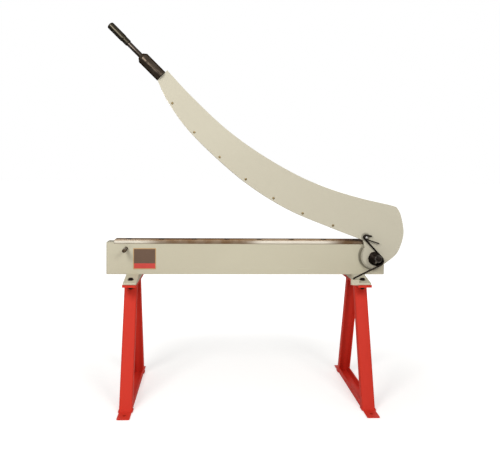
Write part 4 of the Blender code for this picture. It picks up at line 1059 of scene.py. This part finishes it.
share = np.linspace(0, 1, round(wound * COIL_PLACES))
coil_radius = COIL_REAR_RADIUS + (COIL_FRONT_RADIUS - COIL_REAR_RADIUS) * share
coil_middle = coil_rear - share[:, None] * np.array((0, COIL_PITCH * wound, COIL_SAG))
coil = circle_arc(coil_middle, coil_radius[:, None], first_turn + (last_turn - first_turn) * share)
hook = circle_arc(post, hook_radius, np.linspace(HOOK_FROM, leg_turn + 3 * math.pi / 2, HOOK_PLACES))
horn_end = hook[0] + np.array((math.sin(HOOK_FROM), 0, -math.cos(HOOK_FROM))) * HORN_LENGTH
spring_path = evened(np.concatenate([
    horn_end[None],
    hook,
    coil,
    corner_arc(coil[-1], lug_bend, lug_end, LUG_BEND),
    lug_end[None],
]), WIRE_STEP)
spring_girth = wire_girth(len(spring_path), WIRE_RADIUS)
spring_grid = swept(spring_path, spring_girth, (0.02, 1, 0.03), WIRE_SIDES)
spring = surface("torsion_spring_wire", spring_grid, WIRE_CREASE)
spring_steel = dark_steel("spring_steel", (0.014, 0.010, 0.008, 1), (0.036, 0.028, 0.023, 1), 0.24, 0.9)
spring.data.materials.append(spring_steel)
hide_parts("torsion_spring")
coil[0][1] - 0.003
coil[-1][1] + 0.003
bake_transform(spring)


# The post on the arm that the spring's hook pulls on: a turned stud with a collar against
# the arm. A bent wire clip in front of the hook keeps it on the post.
POST_COLLAR = 0.008
POST_COLLAR_LENGTH = 0.002
POST_EASE = 0.0008
KEEPER_WIRE = 0.0026
KEEPER_FROM = math.radians(40)
KEEPER_TO = math.radians(251.5)
KEEPER_TAIL = 0.060
KEEPER_PLACES = 40

arm_face = BED_FRONT - arm_front
post_tip = BED_FRONT - post_low.y
post_profile = [
    (0, arm_face),
    (POST_COLLAR, arm_face),
    (POST_COLLAR, arm_face + POST_COLLAR_LENGTH),
    (POST_RADIUS, arm_face + POST_COLLAR_LENGTH),
    (POST_RADIUS, post_tip),
    (0, post_tip),
]
post_rings = rod_rings(eased_profile(post_profile, POST_EASE))
post_grid = ringed(post_rings, (post[0], BED_FRONT, post[2]), (0, -1, 0))
settle(surface("spring_post_turned", post_grid, TURNED_CREASE), plain_steel, ["spring_post"])

keeper_middle = post - np.array((0, WIRE_RADIUS + BORE_GAP + KEEPER_WIRE, 0))
keeper_turn = np.linspace(KEEPER_FROM, KEEPER_TO, KEEPER_PLACES)
keeper_arc = circle_arc(keeper_middle, POST_RADIUS + BORE_GAP + KEEPER_WIRE, keeper_turn)
tail_end = keeper_arc[-1] + np.array((-math.sin(KEEPER_TO), 0, math.cos(KEEPER_TO))) * KEEPER_TAIL
keeper_path = evened(np.concatenate([keeper_arc, tail_end[None]]), WIRE_STEP / 2)
keeper_girth = wire_girth(len(keeper_path), KEEPER_WIRE)
keeper = surface("spring_keeper_wire", swept(keeper_path, keeper_girth, (0, 1, 0), WIRE_SIDES), WIRE_CREASE)
settle(keeper, black_oxide, ["spring_keeper"])


# The place it stands in: a plain pale floor with painted shade where it shows through the
# holes in the tabs, a soft key light high on the left, a slightly weaker one on the right, a
# broad one behind, and white all round. The camera stands where the photographer stood.
CAMERA_PLACE = (-0.19994, -2.61132, 0.95734)
CAMERA_DOWN = 0.0276406
CAMERA_RIGHT = 0.0398016
CAMERA_ROLL = 0.0076062
LENS_MM = 44.64
SENSOR_MM = 36.0
SHIFT_X = 0.036
SHIFT_Y = -0.086
FLOOR_SIZE = 60.0
FLOOR_NEAR = 0.46
FLOOR_FAR = 0.85
FLOOR_WIDENS = (0.45, 1.5)
FLOOR_SQUASH = (0.8, 1.0, 0.0)
FLOOR_PALE = (0.78, 0.77, 0.75, 1)
HOLE_SHADE = (0.05, 0.012, 0.010, 1)
ANCHOR_MIDDLE = 0.03633
ANCHOR_PLACE = (0.473, 0.272, 0.0)
ANCHOR_HOLE = 0.0085
ANCHOR_BLUR = 0.001
SURROUND = 0.38

floor_mesh = bpy.data.meshes.new("floor")
half = FLOOR_SIZE / 2
floor_corners = [(-half, -half, 0), (half, -half, 0), (half, half, 0), (-half, half, 0)]
floor_mesh.from_pydata(floor_corners, [], [(0, 1, 2, 3)])
floor = bpy.data.objects.new("floor", floor_mesh)
bpy.context.scene.collection.objects.link(floor)
floor_finish, floor_shader, floor_place = blank_finish("pale_floor")
rays = floor_finish.node_tree.nodes.new("ShaderNodeLightPath")
seen = Signal(floor_finish.node_tree, rays.outputs["Is Camera Ray"])
spread = floor_place.stretched(*FLOOR_SQUASH)
away = spread.add("VectorMath", {"operation": "LENGTH"}, {0: spread}, 1)
glow = FLOOR_NEAR + (FLOOR_FAR - FLOOR_NEAR) * away.eased(*FLOOR_WIDENS)
centred = floor_place.stretched(1.0, 1.0, 0.0).moved((ANCHOR_MIDDLE, 0, 0))
mirrored = centred.add("VectorMath", {"operation": "ABSOLUTE"}, {0: centred})
anchor = mirrored.add("VectorMath", {"operation": "DISTANCE"}, {0: mirrored, 1: ANCHOR_PLACE}, 1)
# Painted shade on the floor under the four anchor holes.
shade_in_hole = 1 - anchor.eased(ANCHOR_HOLE, ANCHOR_HOLE + ANCHOR_BLUR)
glow = glow * (1 - shade_in_hole)
feed(floor_shader, {
    "Base Color": shade_in_hole.between(FLOOR_PALE, HOLE_SHADE),
    "Roughness": 0.9,
    "Specular IOR Level": 0.0,
    "Emission Color": (glow * seen).between((0, 0, 0, 1), (1, 1, 1, 1)),
    "Emission Strength": 1.0,
})
floor_mesh.materials.append(floor_finish)

world = bpy.data.worlds.new("white_surround")
world.use_nodes = True
bpy.context.scene.world = world
backdrop = world.node_tree.nodes["Background"]
rays = world.node_tree.nodes.new("ShaderNodeLightPath")
shown = Signal(world.node_tree, rays.outputs["Is Camera Ray"])
for name in ("Is Glossy Ray", "Is Transmission Ray"):
    shown = shown.larger(Signal(world.node_tree, rays.outputs[name]))
surround_tone = shown.between((SURROUND, SURROUND, SURROUND, 1), (1, 1, 1, 1))
world.node_tree.links.new(surround_tone.socket, backdrop.inputs["Color"])
backdrop.inputs["Strength"].default_value = 1.0


def lamp(name, place, target, size, power):
    """A square soft light that faces its target."""
    data = bpy.data.lights.new(name, "AREA")
    data.size = size
    data.energy = power
    made = bpy.data.objects.new(name, data)
    made.location = place
    made.rotation_euler = (Vector(target) - Vector(place)).to_track_quat("-Z", "Y").to_euler()
    bpy.context.scene.collection.objects.link(made)


lamp("key_light", (-1.10, -1.95, 1.85), (-0.2, 0, 0.9), 0.8, 27.6)
lamp("fill_light", (0.95, -2.65, 1.90), (0.1, 0, 0.7), 0.8, 24.4)
lamp("back_light", (0.6, 2.8, 2.2), (0, 0, 0.8), 2.0, 13.0)

heading = Vector((
    math.sin(CAMERA_RIGHT) * math.cos(CAMERA_DOWN),
    math.cos(CAMERA_RIGHT) * math.cos(CAMERA_DOWN),
    -math.sin(CAMERA_DOWN),
))
camera_data = bpy.data.cameras.new("camera")
camera_data.sensor_width = SENSOR_MM
camera_data.lens = LENS_MM
camera_data.shift_x = SHIFT_X
camera_data.shift_y = SHIFT_Y
camera = bpy.data.objects.new("camera", camera_data)
camera.location = CAMERA_PLACE
level = heading.to_track_quat("-Z", "Y").to_matrix()
camera.rotation_euler = (level @ Matrix.Rotation(CAMERA_ROLL, 3, "Z")).to_euler()
bpy.context.scene.collection.objects.link(camera)
bpy.context.scene.camera = camera
bpy.context.scene.view_settings.view_transform = "Standard"
